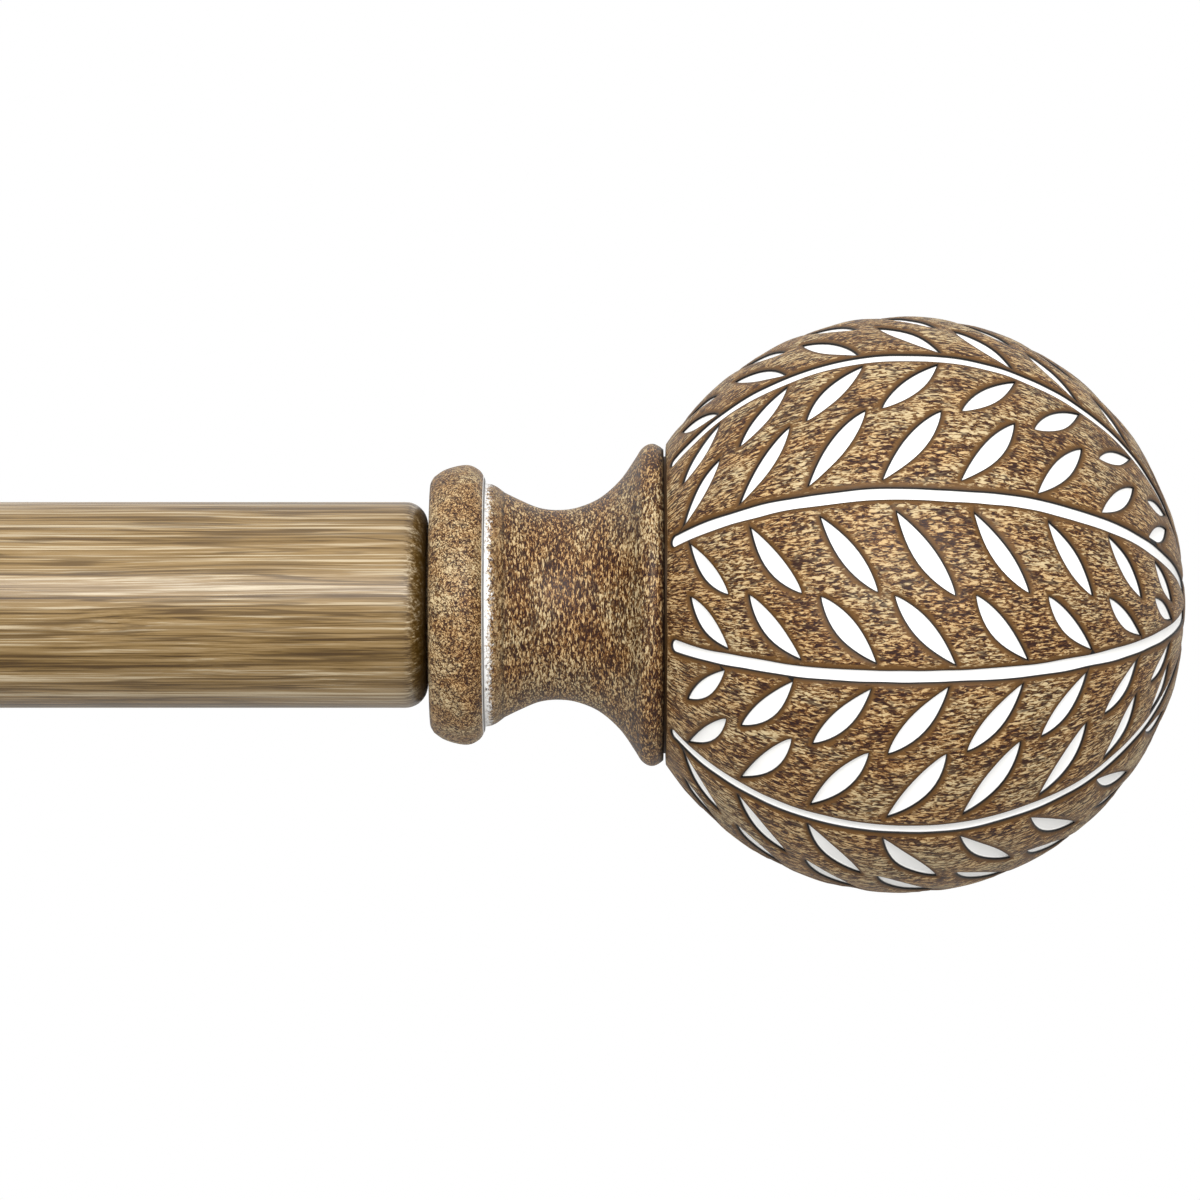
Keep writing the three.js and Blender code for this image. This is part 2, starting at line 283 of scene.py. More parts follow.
def turned(outline, count=96, ring=False):
    """A closed shell: an outline of (radius, distance) pairs turned about the Z axis."""
    shell = bmesh.new()
    rows = []
    for radius, along in outline:
        if radius < 1e-6:
            rows.append([shell.verts.new((0, 0, along))])
            continue
        angles = [2 * math.pi * i / count for i in range(count)]
        spots = [(radius * math.cos(a), radius * math.sin(a), along) for a in angles]
        rows.append([shell.verts.new(spot) for spot in spots])
    following = rows[1:] + ([rows[0]] if ring else [])
    for row, after in zip(rows, following):
        bridge(shell, row, after)
    return shell


def pin(radius, start, end, count=48, edge=0.3):
    """A round pin with softened edges."""
    outline = [(0, start), (radius, start), (radius, end), (0, end)]
    return turned(softened(outline, edge), count)


def turn_shell(shell, turn, x=0, y=0, z=0):
    """The shell, turned and moved in millimetres."""
    bmesh.ops.transform(shell, matrix=Matrix.Translation((x, y, z)) @ turn, verts=shell.verts)
    return shell


# ------------------------------------------------------------------ pieces


def raw(name, shell):
    """An object made of a shell, still in millimetres about its own axis."""
    bmesh.ops.remove_doubles(shell, verts=shell.verts, dist=1e-4)
    bmesh.ops.recalc_face_normals(shell, faces=shell.faces)
    mesh = bpy.data.meshes.new(name)
    shell.to_mesh(mesh)
    shell.free()
    piece = bpy.data.objects.new(name, mesh)
    bpy.context.scene.collection.objects.link(piece)
    return piece


def settle(piece):
    """Turns the result of the piece's modifiers into its plain mesh."""
    bpy.context.view_layer.update()
    graph = bpy.context.evaluated_depsgraph_get()
    made = bpy.data.meshes.new_from_object(
        piece.evaluated_get(graph), preserve_all_data_layers=True, depsgraph=graph
    )
    old = piece.data
    piece.modifiers.clear()
    piece.data = made
    bpy.data.meshes.remove(old)
    if not made.polygons:
        raise RuntimeError(f"{piece.name} came out empty")
    return piece


def combined(piece, tool, operation):
    """The piece with another shell joined to it (UNION) or cut from it (DIFFERENCE)."""
    other = raw(f"{piece.name}_tool", tool)
    change = piece.modifiers.new("Shape", "BOOLEAN")
    change.object = other
    change.operation = operation
    change.solver = "EXACT"
    settle(piece)
    mesh = other.data
    bpy.data.objects.remove(other)
    bpy.data.meshes.remove(mesh)
    return piece


def grown(piece, tree, sizes):
    """The piece with what a node tree adds to it. sizes gives the tree's inputs by name."""
    change = piece.modifiers.new("Growth", "NODES")
    change.node_group = tree
    for item in tree.interface.items_tree:
        if item.item_type == "SOCKET" and item.in_out == "INPUT" and item.name in sizes:
            change[item.identifier] = sizes[item.name]
    return settle(piece)


def mark_wear(mesh):
    """Stores how far each point stands proud of its neighbours, from 0 to 1, as "wear"."""
    count = len(mesh.vertices)
    points = np.empty(count * 3)
    mesh.vertices.foreach_get("co", points)
    points = points.reshape(-1, 3)
    normals = np.empty(count * 3)
    mesh.vertices.foreach_get("normal", normals)
    normals = normals.reshape(-1, 3)
    pairs = np.empty(len(mesh.edges) * 2, dtype=np.int32)
    mesh.edges.foreach_get("vertices", pairs)
    first, second = pairs.reshape(-1, 2).T
    step = points[second] - points[first]
    step /= np.maximum(np.linalg.norm(step, axis=1, keepdims=True), 1e-9)
    proud = np.zeros(count)
    shares = np.zeros(count)
    np.add.at(proud, first, -(step * normals[first]).sum(1))
    np.add.at(proud, second, (step * normals[second]).sum(1))
    np.add.at(shares, first, 1)
    np.add.at(shares, second, 1)
    wear = np.clip(proud / np.maximum(shares, 1) * 3.5, 0, 1)
    store(mesh, "wear", wear)


def store(mesh, name, values):
    """Stores one number for each point of a mesh."""
    layer = mesh.attributes.new(name, "FLOAT", "POINT")
    layer.data.foreach_set("value", np.asarray(values, dtype=np.float32))


def place(piece, where, body, node, finish, sharp=38):
    """Lays a finished piece in the frame, hangs it on what it rides on and hides the frame part that
    it stands for.
    """
    piece.data.transform(where @ Matrix.Scale(MM, 4))
    piece.data.polygons.foreach_set("use_smooth", [True] * len(piece.data.polygons))
    piece.data.set_sharp_from_angle(angle=math.radians(sharp))
    piece.data.materials.clear()
    piece.data.materials.append(finish)
    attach(piece, body)
    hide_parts(node)
    return piece


# ------------------------------------------------------------------ node trees that repeat a shape


def feed(tree, socket, value):
    """Links a socket, or sets its value."""
    if isinstance(value, bpy.types.NodeSocket):
        tree.links.new(value, socket)
    else:
        socket.default_value = value


def add_node(tree, kind, inputs=None, **settings):
    """A node with its settings made and its inputs, by name or number, linked or set."""
    node = tree.nodes.new(kind)
    for setting, value in settings.items():
        setattr(node, setting, value)
    for key, value in (inputs or {}).items():
        feed(tree, node.inputs[key], value)
    return node


def first_output(tree, kind, inputs=None, **settings):
    """The first output of a new node."""
    return add_node(tree, kind, inputs, **settings).outputs[0]


def start_tree(name, sizes):
    """A geometry tree with the piece, a finish and the named sizes as its inputs."""
    tree = bpy.data.node_groups.new(name, "GeometryNodeTree")
    sockets = tree.interface
    sockets.new_socket("Piece", in_out="INPUT", socket_type="NodeSocketGeometry")
    sockets.new_socket("Finish", in_out="INPUT", socket_type="NodeSocketMaterial")
    for size, default in sizes.items():
        kind = "NodeSocketInt" if isinstance(default, int) else "NodeSocketFloat"
        sockets.new_socket(size, in_out="INPUT", socket_type=kind).default_value = default
    sockets.new_socket("Piece", in_out="OUTPUT", socket_type="NodeSocketGeometry")
    return tree, add_node(tree, "NodeGroupInput").outputs


def close_tree(tree, given, made):
    """Joins what the tree made to the piece and gives it all the finish."""
    both = add_node(tree, "GeometryNodeJoinGeometry")
    for part in (given["Piece"], made):
        tree.links.new(part, both.inputs[0])
    whole = first_output(tree, "GeometryNodeRealizeInstances", {0: both.outputs[0]})
    painted = {"Geometry": whole, "Material": given["Finish"]}
    add_node(tree, "NodeGroupOutput", {0: first_output(tree, "GeometryNodeSetMaterial", painted)})
    return tree


def number(tree, operation, first, second):
    """The result of a calculation with two numbers in a geometry tree."""
    return first_output(tree, "ShaderNodeMath", {0: first, 1: second}, operation=operation)


def up_to(tree, height):
    """The point at a height on the Z axis."""
    return first_output(tree, "ShaderNodeCombineXYZ", {"Z": height})


def circle(tree, points, radius):
    """A round curve with a number of points."""
    sizes = {"Resolution": points, "Radius": radius}
    return first_output(tree, "GeometryNodeCurvePrimitiveCircle", sizes, mode="RADIUS")


def both_ways(tree):
    """How far along its curve a point is, as a share, from the start and from the end."""
    along = add_node(tree, "GeometryNodeSplineParameter").outputs["Factor"]
    return along, number(tree, "SUBTRACT", 1.0, along)


def swept(tree, curve, section, fullness=None):
    """A section carried along a curve. Where fullness scales it on the way, its ends are closed."""
    if fullness is not None:
        scaled = {"Curve": curve, "Radius": fullness}
        curve = first_output(tree, "GeometryNodeSetCurveRadius", scaled)
    inputs = {"Curve": curve, "Profile Curve": section, "Fill Caps": fullness is not None}
    return first_output(tree, "GeometryNodeCurveToMesh", inputs)


def repeated(tree, kind, sizes, shape):
    """A shape set on every point of a line or ring of points."""
    spots = first_output(tree, kind, sizes)
    instances = {"Points": spots, "Instance": shape}
    return first_output(tree, "GeometryNodeInstanceOnPoints", instances)


def thread_tree():
    """A helical ridge wound round the Z axis that runs out at both ends."""
    tree, given = start_tree(
        "Helical thread",
        {"Core radius": 3.4, "Depth": 0.6, "Pitch": 1.25, "Turns": 20.0, "Start": 0.0},
    )
    core, turns = given["Core radius"], given["Turns"]
    sizes = {"Resolution": 20, "Rotations": turns, "Start Radius": core, "End Radius": core}
    sizes["Height"] = number(tree, "MULTIPLY", given["Pitch"], turns)
    helix = first_output(tree, "GeometryNodeCurveSpiral", sizes)
    upright = first_output(tree, "GeometryNodeSetCurveNormal", {"Curve": helix}, mode="Z_UP")
    along, back = both_ways(tree)
    turns_in = number(tree, "MULTIPLY", number(tree, "MINIMUM", along, back), turns)
    fullness = number(tree, "MAXIMUM", number(tree, "MINIMUM", turns_in, 1.0), 0.05)
    half_pitch = number(tree, "MULTIPLY", given["Pitch"], 0.46)
    sides = {"X": given["Depth"], "Y": half_pitch, "Z": 1.0}
    scale = first_output(tree, "ShaderNodeCombineXYZ", sides)
    diamond = {"Geometry": circle(tree, 4, 1.0), "Scale": scale}
    section = first_output(tree, "GeometryNodeTransform", diamond)
    ridge = swept(tree, upright, section, fullness)
    moved = {"Geometry": ridge, "Translation": up_to(tree, given["Start"])}
    return close_tree(tree, given, first_output(tree, "GeometryNodeTransform", moved))


def rib_tree():
    """Round ribs parallel to the Z axis, spaced evenly round it."""
    tree, given = start_tree(
        "Ribs round a grip",
        {"Count": 28, "Ring radius": 6.3, "Rib radius": 0.6, "From": 11.0, "To": 17.0},
    )
    ends = {"Start": up_to(tree, given["From"]), "End": up_to(tree, given["To"])}
    line = first_output(tree, "GeometryNodeCurvePrimitiveLine", ends)
    spaced = first_output(tree, "GeometryNodeResampleCurve", {"Curve": line, "Count": 6})
    along, back = both_ways(tree)
    bulge = number(tree, "MULTIPLY", number(tree, "MULTIPLY", along, back), 4.0)
    fullness = number(tree, "MAXIMUM", number(tree, "POWER", bulge, 0.35), 0.25)
    rib = swept(tree, spaced, circle(tree, 8, given["Rib radius"]), fullness)
    ring = {"Vertices": given["Count"], "Radius": given["Ring radius"]}
    return close_tree(tree, given, repeated(tree, "GeometryNodeMeshCircle", ring, rib))


def barb_tree():
    """Barbed rings spaced along the Z axis."""
    tree, given = start_tree(
        "Barbs along a plug",
        {"Count": 8, "Ring radius": 3.5, "Barb": 0.5, "Start": -6.0, "Spacing": -2.0},
    )
    barb = swept(tree, circle(tree, 32, given["Ring radius"]), circle(tree, 3, given["Barb"]))
    row = {"Count": given["Count"], "Start Location": up_to(tree, given["Start"])}
    row["Offset"] = up_to(tree, given["Spacing"])
    return close_tree(tree, given, repeated(tree, "GeometryNodeMeshLine", row, barb))


def tree_named(name, maker):
    """A geometry tree, made the first time that it is asked for."""
    return bpy.data.node_groups.get(name) or maker()


def threaded(piece, finish, core, depth, pitch, turns, start):
    """The piece with a helical thread added round it."""
    sizes = {"Finish": finish, "Core radius": core, "Depth": depth, "Pitch": pitch}
    sizes.update({"Turns": float(turns), "Start": float(start)})
    return grown(piece, tree_named("Helical thread", thread_tree), sizes)


def ribbed(piece, finish, count, ring, rib, start, end):
    """The piece with ribs added round it."""
    sizes = {"Finish": finish, "Count": count, "Ring radius": ring, "Rib radius": rib}
    sizes.update({"From": float(start), "To": float(end)})
    return grown(piece, tree_named("Ribs round a grip", rib_tree), sizes)


def barbed(piece, finish, count, ring, barb, start, spacing):
    """The piece with barbed rings added along it."""
    sizes = {"Finish": finish, "Count": count, "Ring radius": ring, "Barb": barb}
    sizes.update({"Start": float(start), "Spacing": float(spacing)})
    return grown(piece, tree_named("Barbs along a plug", barb_tree), sizes)


# ------------------------------------------------------------------ finishes


class Finish:
    """A material being mixed from nodes."""

    def __init__(self, name):
        self.material = bpy.data.materials.new(name)
        self.material.use_nodes = True
        self.tree = self.material.node_tree
        self.shader = self.tree.nodes["Principled BSDF"]

    def node(self, kind, inputs=None, **settings):
        return add_node(self.tree, kind, inputs, **settings)

    def place_mm(self):
        """Object coordinates in millimetres."""
        coordinates = self.node("ShaderNodeTexCoord").outputs["Object"]
        return self.stretched(coordinates, (1 / MM,) * 3)

    def stored(self, name, output="Fac"):
        return self.node("ShaderNodeAttribute", attribute_name=name).outputs[output]

    def stretched(self, vector, scale):
        node = self.node("ShaderNodeVectorMath", {0: vector, 1: scale}, operation="MULTIPLY")
        return node.outputs[0]

    def moved(self, vector, offset):
        node = self.node("ShaderNodeVectorMath", {0: vector, 1: offset}, operation="ADD")
        return node.outputs[0]

    def noise(self, vector, detail=2.0, roughness=0.5, distortion=0.0):
        node = self.node(
            "ShaderNodeTexNoise",
            {
                "Vector": vector,
                "Scale": 1.0,
                "Detail": detail,
                "Roughness": roughness,
                "Distortion": distortion,
            },
        )
        return node.outputs["Fac"]

    def threads(self, vector, width, strength, detail=0.0):
        """Thin wandering lines, where a soft noise passes through its middle value."""
        off = self.sum("ABSOLUTE", self.sum("SUBTRACT", self.noise(vector, detail), 0.5), 0.0)
        return self.spread(off, width * 0.3, width, strength, 0.0)

    def sum(self, operation, first, second):
        return self.node("ShaderNodeMath", {0: first, 1: second}, operation=operation).outputs[0]

    def spread(self, value, low, high, to_low=0.0, to_high=1.0):
        """value from low..high to to_low..to_high, eased at both ends."""
        inputs = {
            "Value": value,
            "From Min": low,
            "From Max": high,
            "To Min": to_low,
            "To Max": to_high,
        }
        node = self.node("ShaderNodeMapRange", inputs, interpolation_type="SMOOTHSTEP")
        return node.outputs[0]

    def mix(self, amount, first, second, blend="MIX"):
        node = self.node(
            "ShaderNodeMix", {0: amount, 6: first, 7: second}, data_type="RGBA", blend_type=blend
        )
        return node.outputs[2]

    def ramp(self, value, stops):
        node = self.node("ShaderNodeValToRGB", {0: value})
        line = node.color_ramp
        line.elements[0].position, line.elements[0].color = stops[0]
        line.elements[1].position, line.elements[1].color = stops[-1]
        for position, shade in stops[1:-1]:
            line.elements.new(position).color = shade
        return node.outputs["Color"]

    def bump(self, height, depth_mm, strength=1.0):
        inputs = {"Height": height, "Distance": depth_mm * MM, "Strength": strength}
        return self.node("ShaderNodeBump", inputs).outputs["Normal"]

    def finished(self, **sockets):
        """Feeds the shader's sockets, named with _ for a space, and returns the material."""
        for key, value in sockets.items():
            feed(self.tree, self.shader.inputs[key.replace("_", " ")], value)
        return self.material


# painted highlight: the grain's pale band is moved to the room side, where it stands in for a
# highlight as well as being print
FILM_TURN = (90.0, 0.0, 7.0)  # shifts the grain so that a pale band runs along the room side


def film_finish(look):
    """Printed wood-grain film: long wavy streaks along the tube, darker at the rolled end."""
    mix = Finish("rod film")
    spot = mix.place_mm()
    sway = mix.noise(mix.stretched(spot, (0.02, 0.10, 0.10)), 1.0)
    drift = mix.node("ShaderNodeCombineXYZ", {"Y": sway, "Z": sway}).outputs[0]
    swayed = mix.moved(mix.moved(spot, FILM_TURN), mix.stretched(drift, (0.0, 2.2, 2.2)))
    across = 1.6 / look.streak
    fine = mix.noise(mix.stretched(swayed, (0.035, across, across)), 4.0, 0.72)
    medium = mix.noise(mix.stretched(swayed, (0.016, 0.9, 0.9)), 2.0, 0.55)
    broad = mix.noise(mix.stretched(swayed, (0.010, 0.24, 0.24)), 2.0, 0.55)
    level = mix.sum("ADD", mix.sum("MULTIPLY", fine, 0.50), mix.sum("MULTIPLY", medium, 0.31))
    level = mix.sum("ADD", level, mix.sum("MULTIPLY", broad, 0.19))
    body = mix.ramp(
        level,
        [
            (0.395, look.dark),
            (0.445, look.brown),
            (0.49, look.middle),
            (0.515, look.middle),
            (0.57, look.light),
        ],
    )
    veins = mix.threads(mix.stretched(swayed, (0.012, 0.5, 0.5)), 0.018, 0.4, 1.0)
    hairs = mix.threads(mix.stretched(swayed, (0.035, 1.5, 1.5)), 0.07, 0.7, 1.0)
    gaps = mix.spread(medium, 0.44, 0.56, 1.0, 0.25)
    lined = mix.mix(mix.sum("MULTIPLY", hairs, gaps), body, look.dark)
    lined = mix.mix(veins, lined, look.dark)
    bristled = mix.sum("MULTIPLY", mix.sum("SUBTRACT", fine, 0.5), 9.0)
    from_end = mix.sum("ADD", mix.stored("end"), bristled)
    shaded = mix.mix(mix.spread(from_end, 0.2, 3.4, 0.92, 0.0), lined, look.dark)
    gloss = mix.spread(fine, 0.35, 0.65, look.roughness + 0.06, look.roughness - 0.05)
    return mix.finished(
        Base_Color=shaded,
        Roughness=gloss,
        Specular_IOR_Level=0.40,
        Normal=mix.bump(fine, 0.02, 0.5),
    )


def nylon_finish(name, shade, grain=2.2):
    """Moulded nylon with a fine spark texture."""
    mix = Finish(name)
    spot = mix.place_mm()
    texture = mix.noise(mix.stretched(spot, (grain,) * 3), 3.0, 0.6)
    cloud = mix.noise(mix.stretched(spot, (0.12,) * 3), 2.0)
    lighter = tuple(min(1.0, part * 1.35 + 0.01) for part in shade[:3]) + (1.0,)
    body = mix.mix(mix.spread(cloud, 0.3, 0.7), tuple(shade), lighter)
    return mix.finished(
        Base_Color=body,
        Roughness=mix.spread(texture, 0.3, 0.7, 0.48, 0.66),
        Normal=mix.bump(texture, 0.04, 0.6),
    )


def brushed_flecks(mix, strokes, look, shift=0.0, scribble=0.0):
    """Dark glaze, brown, tan and pale gold flecks left by a dry brush, and their height."""
    fine = mix.noise(strokes, 3.0, 0.68, scribble)
    patches = mix.noise(mix.stretched(strokes, (0.06, 0.06, 0.10)), 2.0, 0.5)
    level = mix.sum("ADD", fine, mix.sum("MULTIPLY", mix.sum("SUBTRACT", patches, 0.5), 0.14))
    level = mix.sum("ADD", level, shift)
    flecks = mix.ramp(
        level,
        [
            (0.43, look.dark),
            (0.475, look.brown),
            (0.50, look.brown),
            (0.54, look.tan),
            (0.59, look.gold),
        ],
    )
    rust = mix.mix(mix.spread(patches, 0.40, 0.64, 0.9, 0.25), flecks, look.rust, "MULTIPLY")
    scratches = mix.threads(mix.stretched(strokes, (0.42, 0.42, 0.42)), 0.07, 0.85, 1.0)
    gaps = mix.spread(mix.noise(mix.stretched(strokes, (0.2, 0.2, 0.2)), 1.0), 0.38, 0.54)
    scratched = mix.mix(mix.sum("MULTIPLY", scratches, gaps), rust, look.dark)
    return scratched, level


def glazed_finish(look):
    """The necks: sponged on the collar, brushed round the waist, whitewashed in the groove."""
    mix = Finish("glazed wood")
    spot = mix.place_mm()
    sponged, _ = brushed_flecks(mix, mix.stretched(spot, (3.7, 3.7, 3.7)), look, 0.022, 1.2)
    combed, relief = brushed_flecks(mix, mix.stretched(spot, (4.6, 1.5, 1.5)), look, 0.0, 0.7)
    body = mix.mix(mix.stored("combed"), sponged, combed)
    chalk = mix.noise(mix.stretched(spot, (3.4, 2.4, 2.4)), 3.0, 0.65, 0.6)
    cloud = mix.noise(mix.stretched(spot, (0.2, 0.2, 0.2)), 1.0)
    wash_edge = mix.sum("ADD", mix.stored("wash"), mix.sum("MULTIPLY", chalk, 1.3))
    wash_edge = mix.sum("ADD", wash_edge, mix.sum("MULTIPLY", cloud, 0.5))
    washed = mix.mix(mix.spread(wash_edge, 1.42, 1.82), body, look.white)
    # painted shade from the shade attribute darkens the grooves, creases, joints and bores
    dark_edge = mix.sum("ADD", mix.stored("shade"), mix.sum("MULTIPLY", chalk, 0.35))
    shaded = mix.mix(mix.spread(dark_edge, 0.35, 1.1, 0.0, 0.94), washed, look.line)
    return mix.finished(
        Base_Color=shaded,
        Roughness=mix.spread(relief, 0.35, 0.7, 0.42, 0.60),
        Specular_IOR_Level=0.25,
        Normal=mix.bump(relief, 0.08, 0.5),
    )


def carved_finish(look):
    """The balls: brushed ground, a plain brown band with painted shadow towards each cut, and a dark
    line round white cuts.
    """
    mix = Finish("carved wood")
    strokes = mix.stored("strokes", "Vector")
    edge = mix.stored("edge")
    scale = (3.4, 3.4, 1.0)
    flecks, relief = brushed_flecks(mix, mix.stretched(strokes, scale), look, 0.02, 0.7)
    ragged = mix.noise(mix.stretched(strokes, (2.2, 2.2, 0.8)), 3.0, 0.6)
    reach = mix.sum("ADD", edge, mix.sum("MULTIPLY", mix.sum("SUBTRACT", ragged, 0.5), 1.6))
    plain = mix.spread(edge, 0.0, look.band * 0.6, 0.0, 1.0)
    # painted shadow: the unbrushed band darkens towards each cut's rim
    shadow = tuple(part * 0.5 for part in look.brown[:3]) + (1.0,)
    soft = tuple(part * 1.15 for part in look.brown[:3]) + (1.0,)
    band = mix.mix(plain, shadow, soft)
    open_ground = mix.spread(reach, look.band * 0.45, look.band * 1.05)
    ground = mix.mix(open_ground, band, flecks)
    lined = mix.mix(mix.spread(edge, 0.0, 0.10, 1.0, 0.0), ground, look.line)
    painted = mix.mix(mix.spread(edge, -0.12, -0.06, 1.0, 0.0), lined, look.white)
    height = mix.sum("MULTIPLY", relief, open_ground)
    return mix.finished(
        Base_Color=painted,
        Roughness=mix.spread(relief, 0.35, 0.7, 0.46, 0.62),
        Specular_IOR_Level=0.25,
        Normal=mix.bump(height, 0.08, 0.5),
    )


def beech_finish(look):
    """Bare beech with short dark flecks along the grain."""
    mix = Finish("bare beech")
    spot = mix.place_mm()
    grain = mix.noise(mix.stretched(spot, (0.10, 1.6, 1.6)), 3.0, 0.6)
    rays = mix.noise(mix.stretched(spot, (0.9, 5.0, 5.0)), 1.0)
    brown = tuple(part * 0.62 for part in look.dowel[:3]) + (1.0,)
    body = mix.mix(mix.spread(grain, 0.35, 0.68, 0.55, 0.0), look.dowel, brown)
    flecked = mix.mix(mix.spread(rays, 0.60, 0.72, 0.0, 0.6), body, brown)
    return mix.finished(
        Base_Color=flecked, Roughness=0.72, Normal=mix.bump(grain, 0.05, 0.5)
    )


def bronze_finish(look):
    """Dark bronze paint, rubbed to gold on its edges and in soft patches."""
    mix = Finish("rubbed bronze")
    spot = mix.place_mm()
    mottle = mix.noise(mix.stretched(spot, (0.22,) * 3), 4.0, 0.6)
    scuff = mix.noise(mix.stretched(spot, (1.1, 2.6, 1.1)), 3.0, 0.65)
    worn = mix.sum("ADD", mix.stored("wear"), mix.sum("MULTIPLY", scuff, 0.8))
    edges = mix.spread(worn, 0.58, 1.05, 0.0, 0.85)
    patches = mix.spread(mix.sum("MULTIPLY", mottle, scuff), 0.27, 0.40, 0.0, 0.5)
    rubbed = mix.sum("MAXIMUM", edges, patches)
    darker = tuple(part * 0.55 for part in look.bronze[:3]) + (1.0,)
    body = mix.mix(mix.spread(mottle, 0.35, 0.65), darker, look.bronze)
    return mix.finished(
        Base_Color=mix.mix(rubbed, body, look.rubbed),
        Metallic=mix.spread(rubbed, 0.0, 1.0, 0.35, 0.8),
        Roughness=mix.spread(scuff, 0.3, 0.7, 0.30, 0.52),
        Normal=mix.bump(scuff, 0.03, 0.5),
    )


def zinc_finish(look):
    """Bright zinc plate with fine turning marks and slight cloudiness."""
    mix = Finish("zinc plate")
    spot = mix.place_mm()
    cloud = mix.noise(mix.stretched(spot, (0.35,) * 3), 3.0)
    marks = mix.noise(mix.stretched(spot, (3.5, 3.5, 3.5)), 2.0, 0.7)
    darker = tuple(part * 0.72 for part in look.zinc[:3]) + (1.0,)
    return mix.finished(
        Base_Color=mix.mix(mix.spread(cloud, 0.35, 0.65), darker, look.zinc),
        Metallic=1.0,
        Roughness=mix.spread(marks, 0.3, 0.7, 0.22, 0.40),
        Normal=mix.bump(marks, 0.01, 0.4),
    )


def finish_named(name, maker, *given):
    """A finish, mixed the first time that it is asked for."""
    return bpy.data.materials.get(name) or maker(*given)


def bronze():
    return finish_named("rubbed bronze", bronze_finish, bpy.context.scene.bracket_look)


def zinc():
    return finish_named("zinc plate", zinc_finish, bpy.context.scene.bracket_look)


def dark_nylon():
    name = "dark nylon"
    return bpy.data.materials.get(name) or nylon_finish(name, bpy.context.scene.tube_look.nylon)


def white_nylon():
    name = "white nylon"
    plastic = bpy.context.scene.bracket_look.plastic
    return bpy.data.materials.get(name) or nylon_finish(name, plastic)


# ------------------------------------------------------------------ rod

TUBE_WALL = 0.8
END_HOLE_RADIUS = 9.9
SEAM_WIDTH = 0.5  # of the folded seam along the back of a tube
SEAM_DEPTH = 0.12


def rolled_tube(name, radius, tube_length):
    """A thin seamed tube along -Z whose end at 0 is rolled in to a smaller opening."""
    roll = radius - END_HOLE_RADIUS
    centre = (END_HOLE_RADIUS, -roll)
    quarter = math.pi / 2
    outline = [(radius, -tube_length + 0.2), (radius, -roll - 4)]
    outline += arc(centre, roll, quarter, 0, 10)
    outline += arc(centre, roll - TUBE_WALL, 0, quarter, 6)
    outline += [(radius - TUBE_WALL, -tube_length + 0.2)]
    outline += arc((radius - TUBE_WALL / 2, -tube_length + 0.2), TUBE_WALL / 2, -quarter,
                   -3 * quarter, 5)[1:-1]
    shell = turned(outline, 180, ring=True)
    for point in shell.verts:
        across = radius * math.atan2(point.co.y, -point.co.x)
        if abs(across) < SEAM_WIDTH and point.co.xy.length > radius - 0.01:
            point.co.xy *= 1 - SEAM_DEPTH / radius
    tube = raw(name, shell)
    store(tube.data, "end", [-point.co.z for point in tube.data.vertices])
    return tube


def end_insert(name, tube_radius, finish):
    """A moulded plug with crush ribs and a bore for the finial's stud."""
    radius = tube_radius - TUBE_WALL - GAP
    front, back, bore = -3.1, -21.1, 4.3
    body = radius - 0.45
    outline = [(bore, back), (body, back), (body, front), (bore + 1.2, front), (bore, front - 1)]
    plug = raw(name, turned(softened(outline, 0.5, ring=True), 72, ring=True))
    return ribbed(plug, finish, 10, body - 0.3, 0.72, back + 1, front - 1)


def glide(name):
    """The sliding collar on the inner tube's hidden end."""
    plug = INNER_RADIUS - TUBE_WALL - GAP
    flange = OUTER_RADIUS - TUBE_WALL - GAP
    outline = [(7, -2.3), (flange, -2.3), (flange, -0.3), (plug, -0.3), (plug, 12), (7, 12)]
    return raw(name, turned(softened(outline, 0.5, ring=True), 72, ring=True))


def mouth_ring(name):
    """The plastic ring that lines the outer tube's mouth."""
    inside = INNER_RADIUS + 0.25
    outside = OUTER_RADIUS - TUBE_WALL - 0.25
    outline = [(inside, -1.8), (OUTER_RADIUS, -1.8), (OUTER_RADIUS, -0.3), (outside, -0.3)]
    outline += [(outside, 12), (inside, 12)]
    return raw(name, turned(softened(outline, 0.45, ring=True), 120, ring=True))


class CURTAINROD_OT_tubes(bpy.types.Operator):
    """Make the two tubes, their inserts, the glide and the mouth ring"""

    bl_idname = "curtain_rod.tubes"
    bl_label = "Tubes"

    def execute(self, context):
        film = finish_named("rod film", film_finish, context.scene.tube_look)
        nylon = dark_nylon()
        right_end, left_end = OUTER_HIGH[0], INNER_LOW[0]
        right = at(right_end, AXIS_Y, 0, ALONG_ROD)
        left = at(left_end, AXIS_Y, 0, BACK_ALONG_ROD)
        outer = rolled_tube("outer_tube", OUTER_RADIUS, right_end - OUTER_LOW[0])
        place(outer, right, "outer_rod", "outer_rod", film)
        inner = rolled_tube("inner_tube", INNER_RADIUS, INNER_HIGH[0] - left_end)
        place(inner, left, "inner_rod", "inner_rod", film)
        plug = end_insert("outer_plug", OUTER_RADIUS, nylon)
        place(plug, right, "outer_rod", "outer_rod_insert", nylon)
        plug = end_insert("inner_plug", INNER_RADIUS, nylon)
        place(plug, left, "inner_rod", "inner_rod_insert", nylon)
        ring = mouth_ring("mouth_ring")
        where = at(OUTER_LOW[0], AXIS_Y, 0, ALONG_ROD)
        place(ring, where, "outer_rod", "rod_mouth_ring", nylon)
        slider = glide("inner_glide")
        where = at(INNER_HIGH[0], AXIS_Y, 0, BACK_ALONG_ROD)
        place(slider, where, "inner_rod", "inner_rod_glide", nylon)
        return {"FINISHED"}


# ------------------------------------------------------------------ finial necks, studs and dowels

